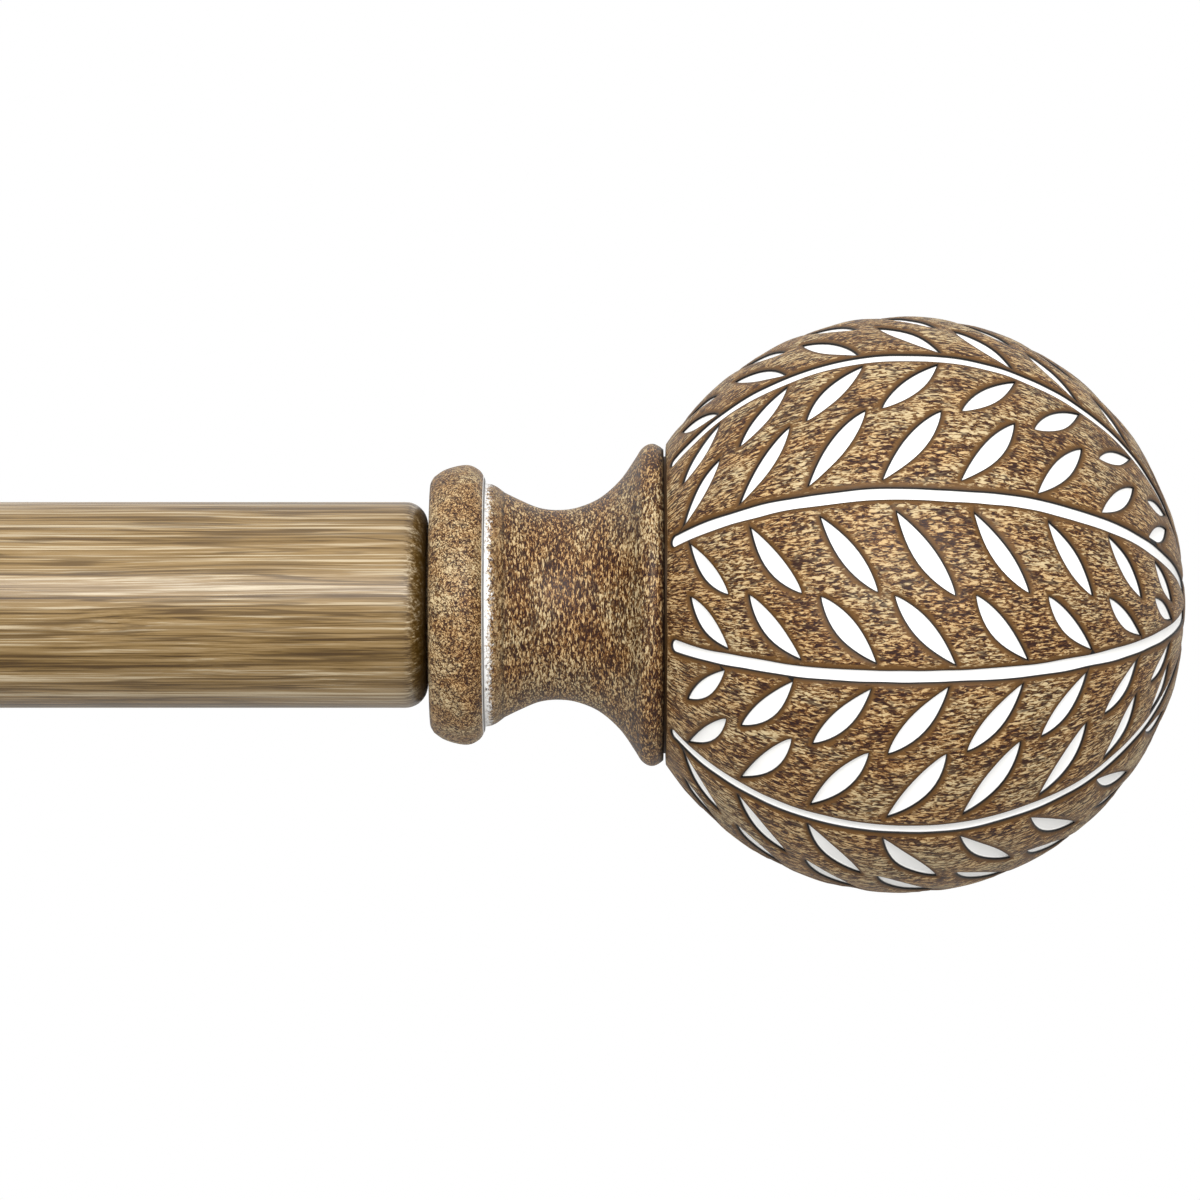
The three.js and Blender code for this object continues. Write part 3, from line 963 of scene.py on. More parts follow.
NECK_LENGTH = 28.7
STUD_BORE = 4.3
STUD_BORE_END = 14.3
DOWEL_BORE = 5.3
DOWEL_BORE_START = 17.7
COLLAR_END = 6.55
WASH_WIDTH = 2.5
# painted shade round a neck, in its grooves, creases and joints, as (distance from its collar's face,
# half width, darkness)
NECK_LINES = ((6.7, 0.22, 1.0), (9.05, 0.35, 0.8), (11.9, 0.25, 0.6), (25.2, 2.2, 0.5),
              (NECK_LENGTH, 1.0, 1.0))


def neck_outline():
    """The outline of a neck, from its stud bore round the outside to its dowel bore."""
    face = softened([(9.5, -2.4), (9.5, 0), (15.0, 0), (15.75, 0.45)], 0.3)[1:]
    collar = [(15.75, 0.45), (16.6, 1.7), (17.15, 3.5), (17.2, 4.9), (16.6, 6.05)]
    collar = spline(collar + [(15.9, 6.55)], 6)
    groove = softened([(15.9, 6.55), (15.5, 6.75), (15.0, 6.75), (15.0, 6.95)], 0.1)[1:-1]
    shoulder = spline([(15.0, 6.95), (14.85, 7.6), (14.5, 8.3), (14.0, 8.95)], 4)
    hollow = [(13.85, 9.15), (13.0, 10.9), (12.0, 13.3), (11.7, 15.6), (12.0, 18.1)]
    hollow += [(13.2, 20.9), (15.4, 23.4), (17.8, 25.1)]
    waist = shoulder + spline(hollow, 8)
    lip = [(18.35, 25.45), (19.2, 26.0), (19.75, 26.75), (19.85, 27.5), (19.55, 28.2)]
    lip = spline(lip + [(19.15, NECK_LENGTH)], 4)
    inside = [(DOWEL_BORE, NECK_LENGTH), (DOWEL_BORE, DOWEL_BORE_START), (0, DOWEL_BORE_START)]
    start = [(0, STUD_BORE_END), (STUD_BORE, STUD_BORE_END), (STUD_BORE, -2.4), (9.5, -2.4)]
    return start + face + collar[1:] + groove + waist + lip + inside


def finial_neck(name):
    neck = raw(name, turned(neck_outline(), 160))
    points = [(point.co.xy.length, point.co.z) for point in neck.data.vertices]
    combed, wash, shade = [], [], []
    for radius, along in points:
        outside = radius > DOWEL_BORE + 1 and along > -0.1
        combed.append(min(1, max(0, (along - 7.5) / 2)))
        in_wash = along > COLLAR_END and outside
        wash.append(max(0, 1 - (along - COLLAR_END) / WASH_WIDTH) if in_wash else 0)
        # painted shade: dark lines at the neck's grooves, creases and joints, an edge along the
        # collar's face, and darkened hidden bores
        near = max(dark * (1 - abs(along - centre) / half) for centre, half, dark in NECK_LINES)
        start_line = 1 - along / 0.5
        shade.append(max(0, near * 0.9, start_line * 0.6) if outside else 0.7)
    store(neck.data, "combed", combed)
    store(neck.data, "wash", wash)
    store(neck.data, "shade", shade)
    return neck


class CURTAINROD_OT_necks(bpy.types.Operator):
    """Make the turned necks of the two finials"""

    bl_idname = "curtain_rod.necks"
    bl_label = "Finial necks"

    def execute(self, context):
        glaze = finish_named("glazed wood", glazed_finish, context.scene.finial_look)
        for side in SIDES:
            where = finial_place(side) @ ALONG_ROD
            neck = finial_neck(f"{side}_neck")
            place(neck, where, f"{side}_finial", f"{side}_finial_neck", glaze, 50)
        return {"FINISHED"}


def finial_stud(name, finish):
    """A length of threaded rod with chamfered ends."""
    core = 3.35
    outline = [(0, -18), (core - 0.5, -18), (core, -17.4), (core, 13.4), (core - 0.5, 14), (0, 14)]
    stud = raw(name, turned(outline, 40))
    return threaded(stud, finish, core, 0.62, 1.25, 24.6, -17.4)


def fluted_dowel(name):
    """A beech dowel with shallow flutes and chamfered ends."""
    flutes, count = 20, 120
    shell = bmesh.new()
    rows = []
    for along, radius, depth in ((18, 4.1, 0.0), (18.9, 5.0, 0.22), (43.1, 5.0, 0.22),
                                 (44, 4.1, 0.0)):
        row = []
        for i in range(count):
            angle = 2 * math.pi * i / count
            here = radius - depth * (0.5 - 0.5 * math.cos(angle * flutes))
            row.append(shell.verts.new((here * math.cos(angle), here * math.sin(angle), along)))
        rows.append(row)
    for row, after in zip(rows, rows[1:]):
        bridge(shell, row, after)
    bridge(shell, [shell.verts.new((0, 0, 18))], rows[0])
    bridge(shell, rows[-1], [shell.verts.new((0, 0, 44))])
    return raw(name, shell)


class CURTAINROD_OT_studs(bpy.types.Operator):
    """Make the threaded studs and the fluted dowels inside the finials"""

    bl_idname = "curtain_rod.studs"
    bl_label = "Studs and dowels"

    def execute(self, context):
        beech = finish_named("bare beech", beech_finish, context.scene.finial_look)
        for side in SIDES:
            where = finial_place(side) @ ALONG_ROD
            stud = finial_stud(f"{side}_stud", zinc())
            place(stud, where, f"{side}_finial_stud", f"{side}_finial_stud", zinc())
            dowel = fluted_dowel(f"{side}_dowel")
            place(dowel, where, f"{side}_finial", f"{side}_finial_dowel", beech)
        return {"FINISHED"}


# ------------------------------------------------------------------ carved balls

BALL_RADIUS = 35.6
BALL_HALF_LENGTH = 35.0
BALL_CENTRE = 58.05
BALL_FACE = NECK_LENGTH + GAP
DOWEL_BORE_END = 44.3
SEAT = NECK_LENGTH + 0.03  # the raised seat that closes the joint behind its dark seam
SEAT_RADIUS = 18.3
GORES = 10
GORE_HALF = math.radians(18)
FIRST_GORE = math.radians(40)
SEAM_ANGLE = math.asin((BALL_FACE - BALL_CENTRE) / BALL_HALF_LENGTH)
SEAM_ARC = BALL_RADIUS * SEAM_ANGLE
RING_ARC = BALL_RADIUS * math.radians(83)
VINE_START = SEAM_ARC + 0.4
LINE_WIDTH = 0.13  # between a cut's rim and its floor
LEAF_PITCH = 15.5
LEAF_REACH = 5.9  # degrees along the ball, from a leaf's middle to its tip
LEAF_SHIFTS = (0.35, 2.45, 1.35)  # degrees along the ball, for the gores that face the room
PILLOW = 0.22  # fall of the ground towards a cut
BOWL = 0.22  # extra depth in the middle of a cut
SPARE_RINGS = (0.32, 0.75, 1.4)  # distances from a cut at which its slope takes points
# the far end's cut ring and button, as (radius, distance from the nearest rim)
BUTTON = ((4.2, -0.13), (3.95, -0.3), (3.65, -0.3), (3.4, -0.13), (3.27, 0.0), (2.95, 0.32),
          (2.3, 1.0), (1.2, 2.0))
BUTTON_RIM = 4.34  # the radius at which the strips end, in the same measure


class Gore:
    """One of the ball's ten strips between two vines, laid flat.

    A flat point is (across, along): millimetres round the ball from the strip's centre line, and
    millimetres along the ball from its widest circle towards its far end.
    """

    def __init__(self, number, seed, look):
        self.look = look
        self.seed = seed
        self.centre = FIRST_GORE - number * 2 * GORE_HALF
        self.number = number
        self.chance = random.Random(seed * 100 + number)
        self.slant = 1 if number % 2 == 0 else -1
        self.leaves = self.lay_out_leaves()

    def vine(self, side, along):
        """The angle of the vine on one side (1 or -1) of the strip, and its half width."""
        index = (self.number - (1 if side > 0 else 0)) % GORES
        sway = noise.noise(Vector((along * 0.11, index * 7.3, self.seed * 3.1)))
        swell = noise.noise(Vector((along * 0.23, index * 5.1, self.seed * 1.7 + 9)))
        angle = self.centre + side * GORE_HALF + math.radians(0.35) * sway
        half = self.look.vine_width / 2 * (1 + 0.12 * swell)
        return angle, half

    def border(self, side, along):
        """How far across the strip reaches, to the middle of its vine."""
        angle, half = self.vine(side, along)
        return BALL_RADIUS * math.cos(along / BALL_RADIUS) * (angle - self.centre), half

    def flat(self, along_degrees, across_degrees):
        latitude = math.radians(along_degrees)
        across = BALL_RADIUS * math.cos(latitude) * math.radians(across_degrees)
        return Vector((across, BALL_RADIUS * latitude))

    def lay_out_leaves(self):
        """Two leaves a step, side by side and slanting the same way, their tips at the vines."""
        leaves = []
        known = self.number < len(LEAF_SHIFTS)
        shift = LEAF_SHIFTS[self.number] if known else self.chance.uniform(0.2, 2.6)
        for step in range(-3, 5):
            here = shift + LEAF_PITCH * step + self.chance.uniform(-0.25, 0.25)
            curve = math.cos(math.radians(here))
            half = LEAF_REACH * (0.6 + 0.4 * curve)
            width = self.look.leaf_width * (0.45 + 0.55 * curve)
            ends = (
                ((here - half, 1.9), (here + half, 15.7)),
                ((here + half, 1.8), (here - half, -14.8)),
            )
            for root, tip in ends:
                root = self.flat(root[0], self.slant * root[1])
                tip = self.flat(tip[0], self.slant * tip[1])
                root += self.wander(0.22)
                tip += self.wander(0.22)
                side = 1 if tip.x > 0 else -1
                reach, vine_half = self.border(side, tip.y)
                limit = abs(reach) - vine_half - 0.55
                tip.x = side * min(abs(tip.x), limit)
                wide = width * self.chance.uniform(0.93, 1.07)
                bow = self.slant * self.chance.uniform(0.05, 0.45)
                leaves.append((root, tip, wide, bow if side > 0 else -bow))
        return leaves

    def wander(self, reach):
        return Vector((self.chance.uniform(-reach, reach), self.chance.uniform(-reach, reach)))

    def leaf_outline(self, leaf, grow=0.0, steps=15):
        """Points round a leaf grown outwards by a distance, or shrunk where it is negative."""
        root, tip, width, bow = leaf
        along = (tip - root).normalized()
        across = Vector((-along.y, along.x))
        start = root - along * grow
        end = tip + along * grow * (2.2 if grow < 0 else 1.1)
        upper, lower = [], []
        for k in range(steps + 1):
            part = k / steps
            part = part - 0.4 * math.sin(2 * math.pi * part) / (2 * math.pi)
            middle = start.lerp(end, part) + across * bow * math.sin(math.pi * part)
            full = math.sin(math.pi * min(1, max(0, part)) ** 0.92) ** 0.86 if 0 < k < steps else 0
            rounding = math.sin(math.pi * part) ** 0.35 if 0 < k < steps else 0
            half = max(0.0, width / 2 * full + grow * rounding)
            upper.append(middle + across * half)
            lower.append(middle - across * half)
        return upper + lower[-2:0:-1]

    def vine_edge(self, side, inset, top):
        """The rim (inset 0) or floor (inset LINE_WIDTH) of the vine on one side of the strip."""
        start = VINE_START + inset
        middle, half = self.border(side, start)
        reach = half - inset
        points = [Vector((middle, start))]
        for k in range(1, 5):
            turn = math.pi / 2 * k / 4
            along = start + reach * (1 - math.cos(turn))
            middle, half = self.border(side, along)
            points.append(Vector((middle - side * (half - inset) * math.sin(turn), along)))
        along = points[-1].y
        count = max(2, round((top - along) / 0.9))
        for k in range(1, count + 1):
            here = along + (top - along) * k / count
            middle, half = self.border(side, here)
            points.append(Vector((middle - side * (half - inset), here)))
        return points


def distance_to_lines(points, lines):
    """The distance of each point from the nearest of several polylines."""
    best = np.full(len(points), 1e9)
    for line in lines:
        start = line[:-1]
        step = line[1:] - start
        size = np.maximum((step**2).sum(1), 1e-12)
        offset = points[:, None, :] - start[None, :, :]
        part = np.clip((offset * step).sum(2) / size, 0, 1)
        gap = offset - part[:, :, None] * step[None, :, :]
        best = np.minimum(best, np.sqrt((gap**2).sum(2)).min(1))
    return best


def inside_loop(points, loop):
    """Which points lie inside a closed loop."""
    x, y = points[:, 0], points[:, 1]
    inside = np.zeros(len(points), dtype=bool)
    following = np.roll(loop, -1, axis=0)
    for (x0, y0), (x1, y1) in zip(loop, following):
        if y0 == y1:
            continue
        crosses = (y0 > y) != (y1 > y)
        inside ^= crosses & (x < (x1 - x0) * (y - y0) / (y1 - y0) + x0)
    return inside


def as_array(points):
    return np.array([tuple(point) for point in points])


def carve_height(edge, look):
    """How far the surface stands above the plain ball at a signed distance from a cut's rim."""
    outside = np.maximum(edge, 0)
    inside = np.maximum(-edge, 0)
    ground = -0.12 * np.exp(-outside / 0.28) - PILLOW * np.exp(-outside / 1.5)
    wall = -look.cut_depth * np.clip(inside / LINE_WIDTH, 0, 1)
    bowl = -BOWL * (1 - np.exp(-np.maximum(inside - LINE_WIDTH, 0) / 0.5))
    return ground + wall + bowl


def gore_mesh(gore):
    """The strip's flat points, their signed distances from the nearest rim, and its triangles."""
    look = gore.look
    points, edges = [], []

    def add_line(line, closed=False):
        first = len(points)
        points.extend(line)
        last = len(points) - 1
        edges.extend((i, i + 1) for i in range(first, last))
        if closed:
            edges.append((last, first))
        return list(range(first, last + 1))

    side_steps = [SEAM_ARC, SEAM_ARC + 0.2, VINE_START, VINE_START + LINE_WIDTH]
    count = round((RING_ARC - side_steps[-1]) / 0.85)
    first = side_steps[-1]
    side_steps += [first + (RING_ARC - first) * k / count for k in range(1, count + 1)]
    right = [Vector((gore.border(1, along)[0], along)) for along in side_steps]
    left = [Vector((gore.border(-1, along)[0], along)) for along in side_steps]
    rims, floors = [], []
    for side in (-1, 1):
        rims.append(gore.vine_edge(side, 0, RING_ARC))
        floors.append(gore.vine_edge(side, LINE_WIDTH, RING_ARC))
    bottom_count = 12
    bottom = [left[0].lerp(right[0], k / bottom_count) for k in range(bottom_count + 1)]
    top_across = sorted([rims[0][-1].x, rims[1][-1].x, floors[0][-1].x, floors[1][-1].x, 0.0])
    top = [Vector((across, RING_ARC)) for across in top_across]
    outline = bottom + right[1:] + list(reversed(top)) + list(reversed(left[1:]))
    outline_ids = add_line(outline, closed=True)
    rim_lines = [as_array(rims[0]), as_array(rims[1]), as_array([top[1], top[-2]])]
    rim_ids, floor_ids = set(), set()
    for line in rims:
        rim_ids.update(add_line(line))
    for line in floors:
        floor_ids.update(add_line(line))
    leaf_loops = []
    for leaf in gore.leaves:
        rim = gore.leaf_outline(leaf)
        leaf_loops.append(as_array(rim))
        rim_ids.update(add_line(rim, closed=True))
        floor_ids.update(add_line(gore.leaf_outline(leaf, -LINE_WIDTH), closed=True))
    rim_lines += [np.vstack([loop, loop[:1]]) for loop in leaf_loops]
    constrained = len(points)

    extra = []
    for grow in SPARE_RINGS:
        ring = []
        for leaf in gore.leaves:
            ring += gore.leaf_outline(leaf, grow, 12)
        for side, line in zip((-1, 1), rims):
            ring += [point - Vector((side * grow, 0)) for point in line[4:-2]]
        ring = as_array(ring)
        away = distance_to_lines(ring, rim_lines)
        extra.append(ring[away > grow * 0.82])
    inner = []
    for leaf in gore.leaves:
        inner += gore.leaf_outline(leaf, -0.5, 9)
        root, tip = leaf[:2]
        inner += [root.lerp(tip, part) for part in (0.2, 0.32, 0.44, 0.56, 0.68)]
    inner = as_array(inner)
    away = distance_to_lines(inner, rim_lines)
    extra.append(inner[away > 0.3])
    grid = []
    rows = int((RING_ARC - SEAM_ARC) / 1.1)
    for row in range(1, rows):
        along = SEAM_ARC + (RING_ARC - SEAM_ARC) * row / rows
        for column in range(-11, 12):
            grid.append((column * 1.15 + (0.5 if row % 2 else 0), along))
    grid = np.array(grid)
    extra.append(grid[distance_to_lines(grid, rim_lines) > 1.75])
    extra = np.vstack(extra)
    fits = []
    for across, along in extra:
        high, half_high = gore.border(1, along) if along < RING_ARC else (0, 0)
        low, half_low = gore.border(-1, along) if along < RING_ARC else (0, 0)
        open_end = SEAM_ARC + 0.3 < along < RING_ARC - 0.3
        fits.append(open_end and low + half_low < across < high - half_high)
    extra = extra[np.array(fits)]
    everything = np.vstack([as_array(points), extra])
    # drop spare points that crowd one another
    keep = list(range(constrained))
    cells = {}
    for i in range(constrained, len(everything)):
        cell = (int(everything[i, 0] / 0.3), int(everything[i, 1] / 0.3))
        if cell not in cells:
            cells[cell] = i
            keep.append(i)
    everything = everything[keep]

    flat, _, faces, origins, _, _ = delaunay_2d_cdt(
        [Vector(point) for point in everything], edges, [], 1, 1e-5, True
    )
    flat = as_array(flat)
    middles = flat[np.array(faces)].mean(1)
    low = np.interp(middles[:, 1], side_steps, [point.x for point in left])
    high = np.interp(middles[:, 1], side_steps, [point.x for point in right])
    within = (middles[:, 0] > low) & (middles[:, 0] < high)
    faces = [face for face, kept in zip(faces, within) if kept]
    edge = distance_to_lines(flat, rim_lines)
    cut = np.zeros(len(flat), dtype=bool)
    for loop in leaf_loops:
        cut |= inside_loop(flat, loop)
    ids = [set(origin) for origin in origins]
    half_vine = look.vine_width / 2
    for i, (across, along) in enumerate(flat):
        if ids[i] & floor_ids:
            edge[i] = -LINE_WIDTH
        elif ids[i] & rim_ids:
            edge[i] = 0.0
        elif ids[i] & set(outline_ids):
            side = 1 if across > 0 else -1
            middle, half = gore.border(side, along)
            if abs(middle - across) < 1e-4:
                past = along - VINE_START
                edge[i] = -min(half, past) if past > 0 else -past
            elif along > RING_ARC - 1e-4:
                edge[i] = 0.0
        elif cut[i]:
            edge[i] = -edge[i]
        elif along > VINE_START:
            side = 1 if across > 0 else -1
            middle, half = gore.border(side, along)
            if abs(middle - across) < min(half, half_vine * 1.2):
                edge[i] = -edge[i]
    return flat, edge, faces


def carved_ball(name, look, seed):
    """A flattened ball, bored for its dowel, with ten vines and pairs of leaves cut into it."""
    shell = bmesh.new()
    edge_layer = shell.verts.layers.float.new("edge")
    stroke_layer = shell.verts.layers.float_vector.new("strokes")

    def add_point(latitude, angle, height, edge):
        round_off = math.cos(latitude)
        spot = Vector((math.sin(latitude), -round_off * math.cos(angle), round_off * math.sin(angle)))
        height += 0.07 * noise.noise(spot * 9 + Vector((seed, 0, 0)))
        ball = (BALL_RADIUS + height) * round_off
        along = BALL_CENTRE + (BALL_HALF_LENGTH + height) * math.sin(latitude)
        made = shell.verts.new((along, -ball * math.cos(angle), ball * math.sin(angle)))
        made[edge_layer] = edge
        made[stroke_layer] = (
            BALL_RADIUS * math.cos(angle), BALL_RADIUS * math.sin(angle), BALL_RADIUS * latitude
        )
        return made

    for number in range(GORES):
        gore = Gore(number, seed, look)
        flat, edge, faces = gore_mesh(gore)
        heights = carve_height(edge, look)
        made = []
        for (across, along), rim, height in zip(flat, edge, heights):
            latitude = along / BALL_RADIUS
            angle = gore.centre + across / (BALL_RADIUS * math.cos(latitude))
            made.append(add_point(latitude, angle, height, rim))
        for face in faces:
            shell.faces.new([made[i] for i in face])
    bmesh.ops.remove_doubles(shell, verts=shell.verts, dist=0.004)
    close_far_end(shell, add_point, look)
    close_near_end(shell, edge_layer)
    return raw(name, shell)


def angle_round(point):
    """A point's angle round the ball's axis."""
    return math.atan2(point.co.z, -point.co.y)


def open_rows(shell):
    """The points on the shell's open borders, near end first, each sorted round the axis."""
    border = {point for rim in shell.edges if rim.is_boundary for point in rim.verts}
    near = [point for point in border if point.co.x < BALL_CENTRE]
    far = [point for point in border if point.co.x >= BALL_CENTRE]
    return sorted(near, key=angle_round), sorted(far, key=angle_round)


def close_far_end(shell, add_point, look):
    """Finishes the far end with a cut ring round a low button."""
    _, row = open_rows(shell)
    angles = [angle_round(point) for point in row]
    rim_radius = BALL_RADIUS * math.cos(RING_ARC / BALL_RADIUS)
    for radius, edge in BUTTON:
        radius = radius * rim_radius / BUTTON_RIM
        height = float(carve_height(np.array([edge]), look)[0])
        latitude = math.acos(radius / BALL_RADIUS)
        following = [add_point(latitude, angle, height, edge) for angle in angles]
        bridge(shell, row, following)
        row = following
    bridge(shell, row, [add_point(math.pi / 2, 0, 0.0, 3.0)])


def close_near_end(shell, edge_layer):
    """Closes the end against the neck with a flat face, bored for the dowel."""
    row, _ = open_rows(shell)
    rim = sum(point.co.yz.length for point in row) / len(row)
    profile = [(rim - 0.25, BALL_FACE), (SEAT_RADIUS, BALL_FACE), (SEAT_RADIUS, SEAT)]
    profile += [(DOWEL_BORE, SEAT), (DOWEL_BORE, DOWEL_BORE_END), (0, DOWEL_BORE_END)]
    for radius, along in profile:
        if radius == 0:
            following = [shell.verts.new((along, 0, 0))]
        else:
            following = []
            for point in row:
                away = point.co.yz.normalized() * radius
                following.append(shell.verts.new((along, away[0], away[1])))
        for point in following:
            point[edge_layer] = 0.3
        bridge(shell, row, following)
        row = following


class CURTAINROD_OT_balls(bpy.types.Operator):
    """Make the two carved balls"""

    bl_idname = "curtain_rod.balls"
    bl_label = "Carved balls"

    def execute(self, context):
        look = context.scene.finial_look
        paint = finish_named("carved wood", carved_finish, look)
        for seed, side in enumerate(SIDES, start=3):
            ball = carved_ball(f"{side}_ball", look, seed)
            place(ball, finial_place(side), f"{side}_finial", f"{side}_finial_ball",
                  paint, 42)
        return {"FINISHED"}


# ------------------------------------------------------------------ brackets

PLATE_RADIUS = 32
PLATE_HUB = 8.4
SOCKET_RADIUS = 6.0
SOCKET_FLOOR = 3.9
SCREW_OFFSET = 21
BAR_RADIUS = 5.5
BAR_START = 16
SLEEVE_END = 60
LOCK_PLACE = 52
LOCK_BOSS = 12
CUP_RADIUS = 13.1
CUP_WALL = 2.6
CUP_HALF_WIDTH = 8
CUP_HEIGHT = 10
CUP_TIP = 6  # corner radius of the cup's arms
CUP_BOSS = 3
THUMB_RADIUS = 2.5
THUMB_LENGTH = 14
THUMB_BORE = THUMB_RADIUS + GAP


def wall_plate(name):
    """A stepped round rose with a socket for the arm and two countersunk screw holes."""
    steps = [(0, 0), (31.4, 0), (PLATE_RADIUS, 0.6), (PLATE_RADIUS, 2.2), (30.6, 3.6)]
    steps += [(28.4, 3.6), (27.6, 4.4)]
    dome = spline([(27.6, 4.4), (22, 4.95), (16.4, 5.35), (14, 6.2), (12.4, 8.0)], 5)[1:]
    hub = [(12.0, PLATE_HUB), (SOCKET_RADIUS, PLATE_HUB), (SOCKET_RADIUS, SOCKET_FLOOR)]
    outline = softened(steps, 0.5, 4) + dome + softened(hub, 0.3) + [(0, SOCKET_FLOOR)]
    plate = raw(name, turned(outline, 128))
    for height in (SCREW_OFFSET, -SCREW_OFFSET):
        hole = [(0, -1), (2.6, -1), (2.6, 2.4), (5.6, 5.4), (5.6, 9), (0, 9)]
        tool = turn_shell(turned(hole, 48), UNTURNED, y=height)
        combined(plate, tool, "DIFFERENCE")
    return plate


def arm_sleeve(name):
    """The fixed half of the arm, bored for the bar, with a boss for the lock screw below."""
    spigot = SOCKET_RADIUS - GAP
    foot = PLATE_HUB + GAP
    bore = BAR_RADIUS + GAP
    outline = [(0, SOCKET_FLOOR + GAP), (spigot, SOCKET_FLOOR + GAP), (spigot, foot), (9.6, foot)]
    outline += [(9.6, foot + 1.6), (8.3, foot + 3.6), (8.3, SLEEVE_END - 4.6), (9.1, SLEEVE_END - 3.4)]
    outline += [(9.1, SLEEVE_END), (bore, SLEEVE_END), (bore, 14), (0, 14)]
    sleeve = raw(name, turned(softened(outline, 0.6, 4), 80))
    for tool, operation in (
        (pin(4.3, BAR_RADIUS + 1.4, LOCK_BOSS, 48, 0.5), "UNION"),
        (pin(THUMB_BORE, 2, LOCK_BOSS + 1, 40, 0.05), "DIFFERENCE"),
    ):
        # local +Z is the way out from the wall, so the boss points along local -Y
        turn_shell(tool, Matrix.Rotation(math.pi / 2, 4, "X"), z=LOCK_PLACE)
        combined(sleeve, tool, operation)
    return sleeve


def arm_bar(name):
    end = -AXIS_Y - CUP_RADIUS - CUP_WALL - GAP
    return raw(name, pin(BAR_RADIUS, BAR_START, end, 64, 0.6))


def cup_band():
    """A strap bent into a U about the rod, with rounded arms. The room is on the -Y side."""
    middle = CUP_RADIUS + CUP_WALL / 2
    stations = []
    for k in range(13):
        height = CUP_HEIGHT * (1 - k / 12)
        stations.append((Vector((0, middle, height)), Vector((0, 1, 0))))
    for k in range(1, 36):
        angle = math.pi * k / 36
        out = Vector((0, math.cos(angle), -math.sin(angle)))
        stations.append((out * middle, out))
    for k in range(13):
        stations.append((Vector((0, -middle, CUP_HEIGHT * k / 12)), Vector((0, -1, 0))))
    shell = bmesh.new()
    rows = []
    for index, (spot, out) in enumerate(stations):
        rise = spot.z - (CUP_HEIGHT - CUP_TIP)
        half = CUP_HALF_WIDTH
        if rise > 0:
            half = CUP_HALF_WIDTH - CUP_TIP + math.sqrt(max(CUP_TIP**2 - rise**2, 0))
        last = index in (0, len(stations) - 1)
        thick = CUP_WALL / 2 * (0.72 if last else 1)
        corners = [(half, thick), (-half, thick), (-half, -thick), (half, -thick)]
        section = softened(corners, 0.55, 3, ring=True)
        rows.append([shell.verts.new(spot + out * n + Vector((w, 0, 0))) for w, n in section])
    for row, after in zip(rows, rows[1:]):
        bridge(shell, row, after)
    shell.faces.new(rows[0])
    shell.faces.new(rows[-1])
    return shell


def cradle_cup(name):
    """The rod's cup: a bent strap with a boss for the set screw and a socket for the bar."""
    outside = CUP_RADIUS + CUP_WALL
    face = outside + CUP_BOSS
    cup = raw(name, cup_band())
    for tool, operation in (
        (pin(4.6, outside - 1.2, face, 48, 0.5), "UNION"),
        (pin(6.8, -face, 2.1 - outside, 64, 0.5), "UNION"),
        (pin(THUMB_BORE, 8, face + 1, 40, 0.05), "DIFFERENCE"),
        (pin(BAR_RADIUS + GAP, -face - 1, -outside, 64, 0.05), "DIFFERENCE"),
    ):
        combined(cup, turn_shell(tool, FROM_WALL), operation)
    return cup


def cross_recess(depth_start, depth_end, reach, half_width):
    """A tapered cross that cuts a driver recess down from depth_start to depth_end."""
    shell = bmesh.new()
    rows = []
    for along, size in ((depth_start, 1.0), (depth_end, 0.45)):
        row = []
        for quarter in range(4):
            turn = Matrix.Rotation(quarter * math.pi / 2, 3, "Z")
            for spot in ((reach, -half_width), (reach, half_width), (half_width, half_width)):
                out = spot[0] * size if spot[0] > half_width else spot[0]
                flat = Vector((out, spot[1], 0))
                row.append(shell.verts.new(turn @ flat + Vector((0, 0, along))))
        rows.append(row)
    bridge(shell, rows[0], rows[1])
    shell.faces.new(rows[0])
    shell.faces.new(rows[1])
    return shell


def wall_screw(name, finish):
    """A countersunk wood screw with a cross recess."""
    outline = [(0, -33), (0.35, -32.4), (1.5, -28.4), (1.55, -1), (2.05, 0.4), (2.1, 2.3)]
    outline += [(4.2, 4.5), (4.2, 4.75), (3.4, 4.88), (0, 4.9)]
    screw = raw(name, turned(outline, 48))
    combined(screw, cross_recess(5.2, 2.6, 2.3, 0.42), "DIFFERENCE")
    return threaded(screw, finish, 1.5, 0.58, 1.8, 13.5, -27.0)


def wall_anchor(name, finish):
    """A barbed plastic plug."""
    outline = [(2.4, -2.4), (5, -2.4), (5, -3.4), (3.6, -3.4), (3.6, -22), (3.0, -30), (2.4, -30)]
    plug = raw(name, turned(softened(outline, 0.25, ring=True), 48, ring=True))
    return barbed(plug, finish, 8, 3.5, 0.5, -6.0, -2.1)


def thumb_shank(name, finish):
    """A short machine screw with a chamfered tip."""
    core = THUMB_RADIUS - 0.45
    outline = [(0, 0), (core - 0.6, 0), (core, 0.7), (core, THUMB_LENGTH), (0, THUMB_LENGTH)]
    shank = raw(name, turned(outline, 40))
    return threaded(shank, finish, core, 0.42, 0.8, 15.5, 0.7)


def thumb_grip(name, finish, ribs):
    """A ribbed round knob on a short neck, bored for the end of its screw."""
    neck = THUMB_LENGTH - 5
    end = THUMB_LENGTH + GAP
    outline = [(0, end), (THUMB_BORE, end), (THUMB_BORE, neck), (4.2, neck), (4.2, neck + 1.2)]
    outline += [(4.7, neck + 1.7), (6.1, neck + 1.9), (6.35, neck + 2.4), (6.35, neck + 7.7)]
    outline += [(5.9, neck + 8.4), (4.4, neck + 8.7), (3.8, neck + 8.45), (1.2, neck + 8.4)]
    outline += [(0, neck + 8.6)]
    grip = raw(name, turned(softened(outline, 0.35), 84))
    return ribbed(grip, finish, ribs, 6.25, 0.62, neck + 2.2, neck + 8.0)


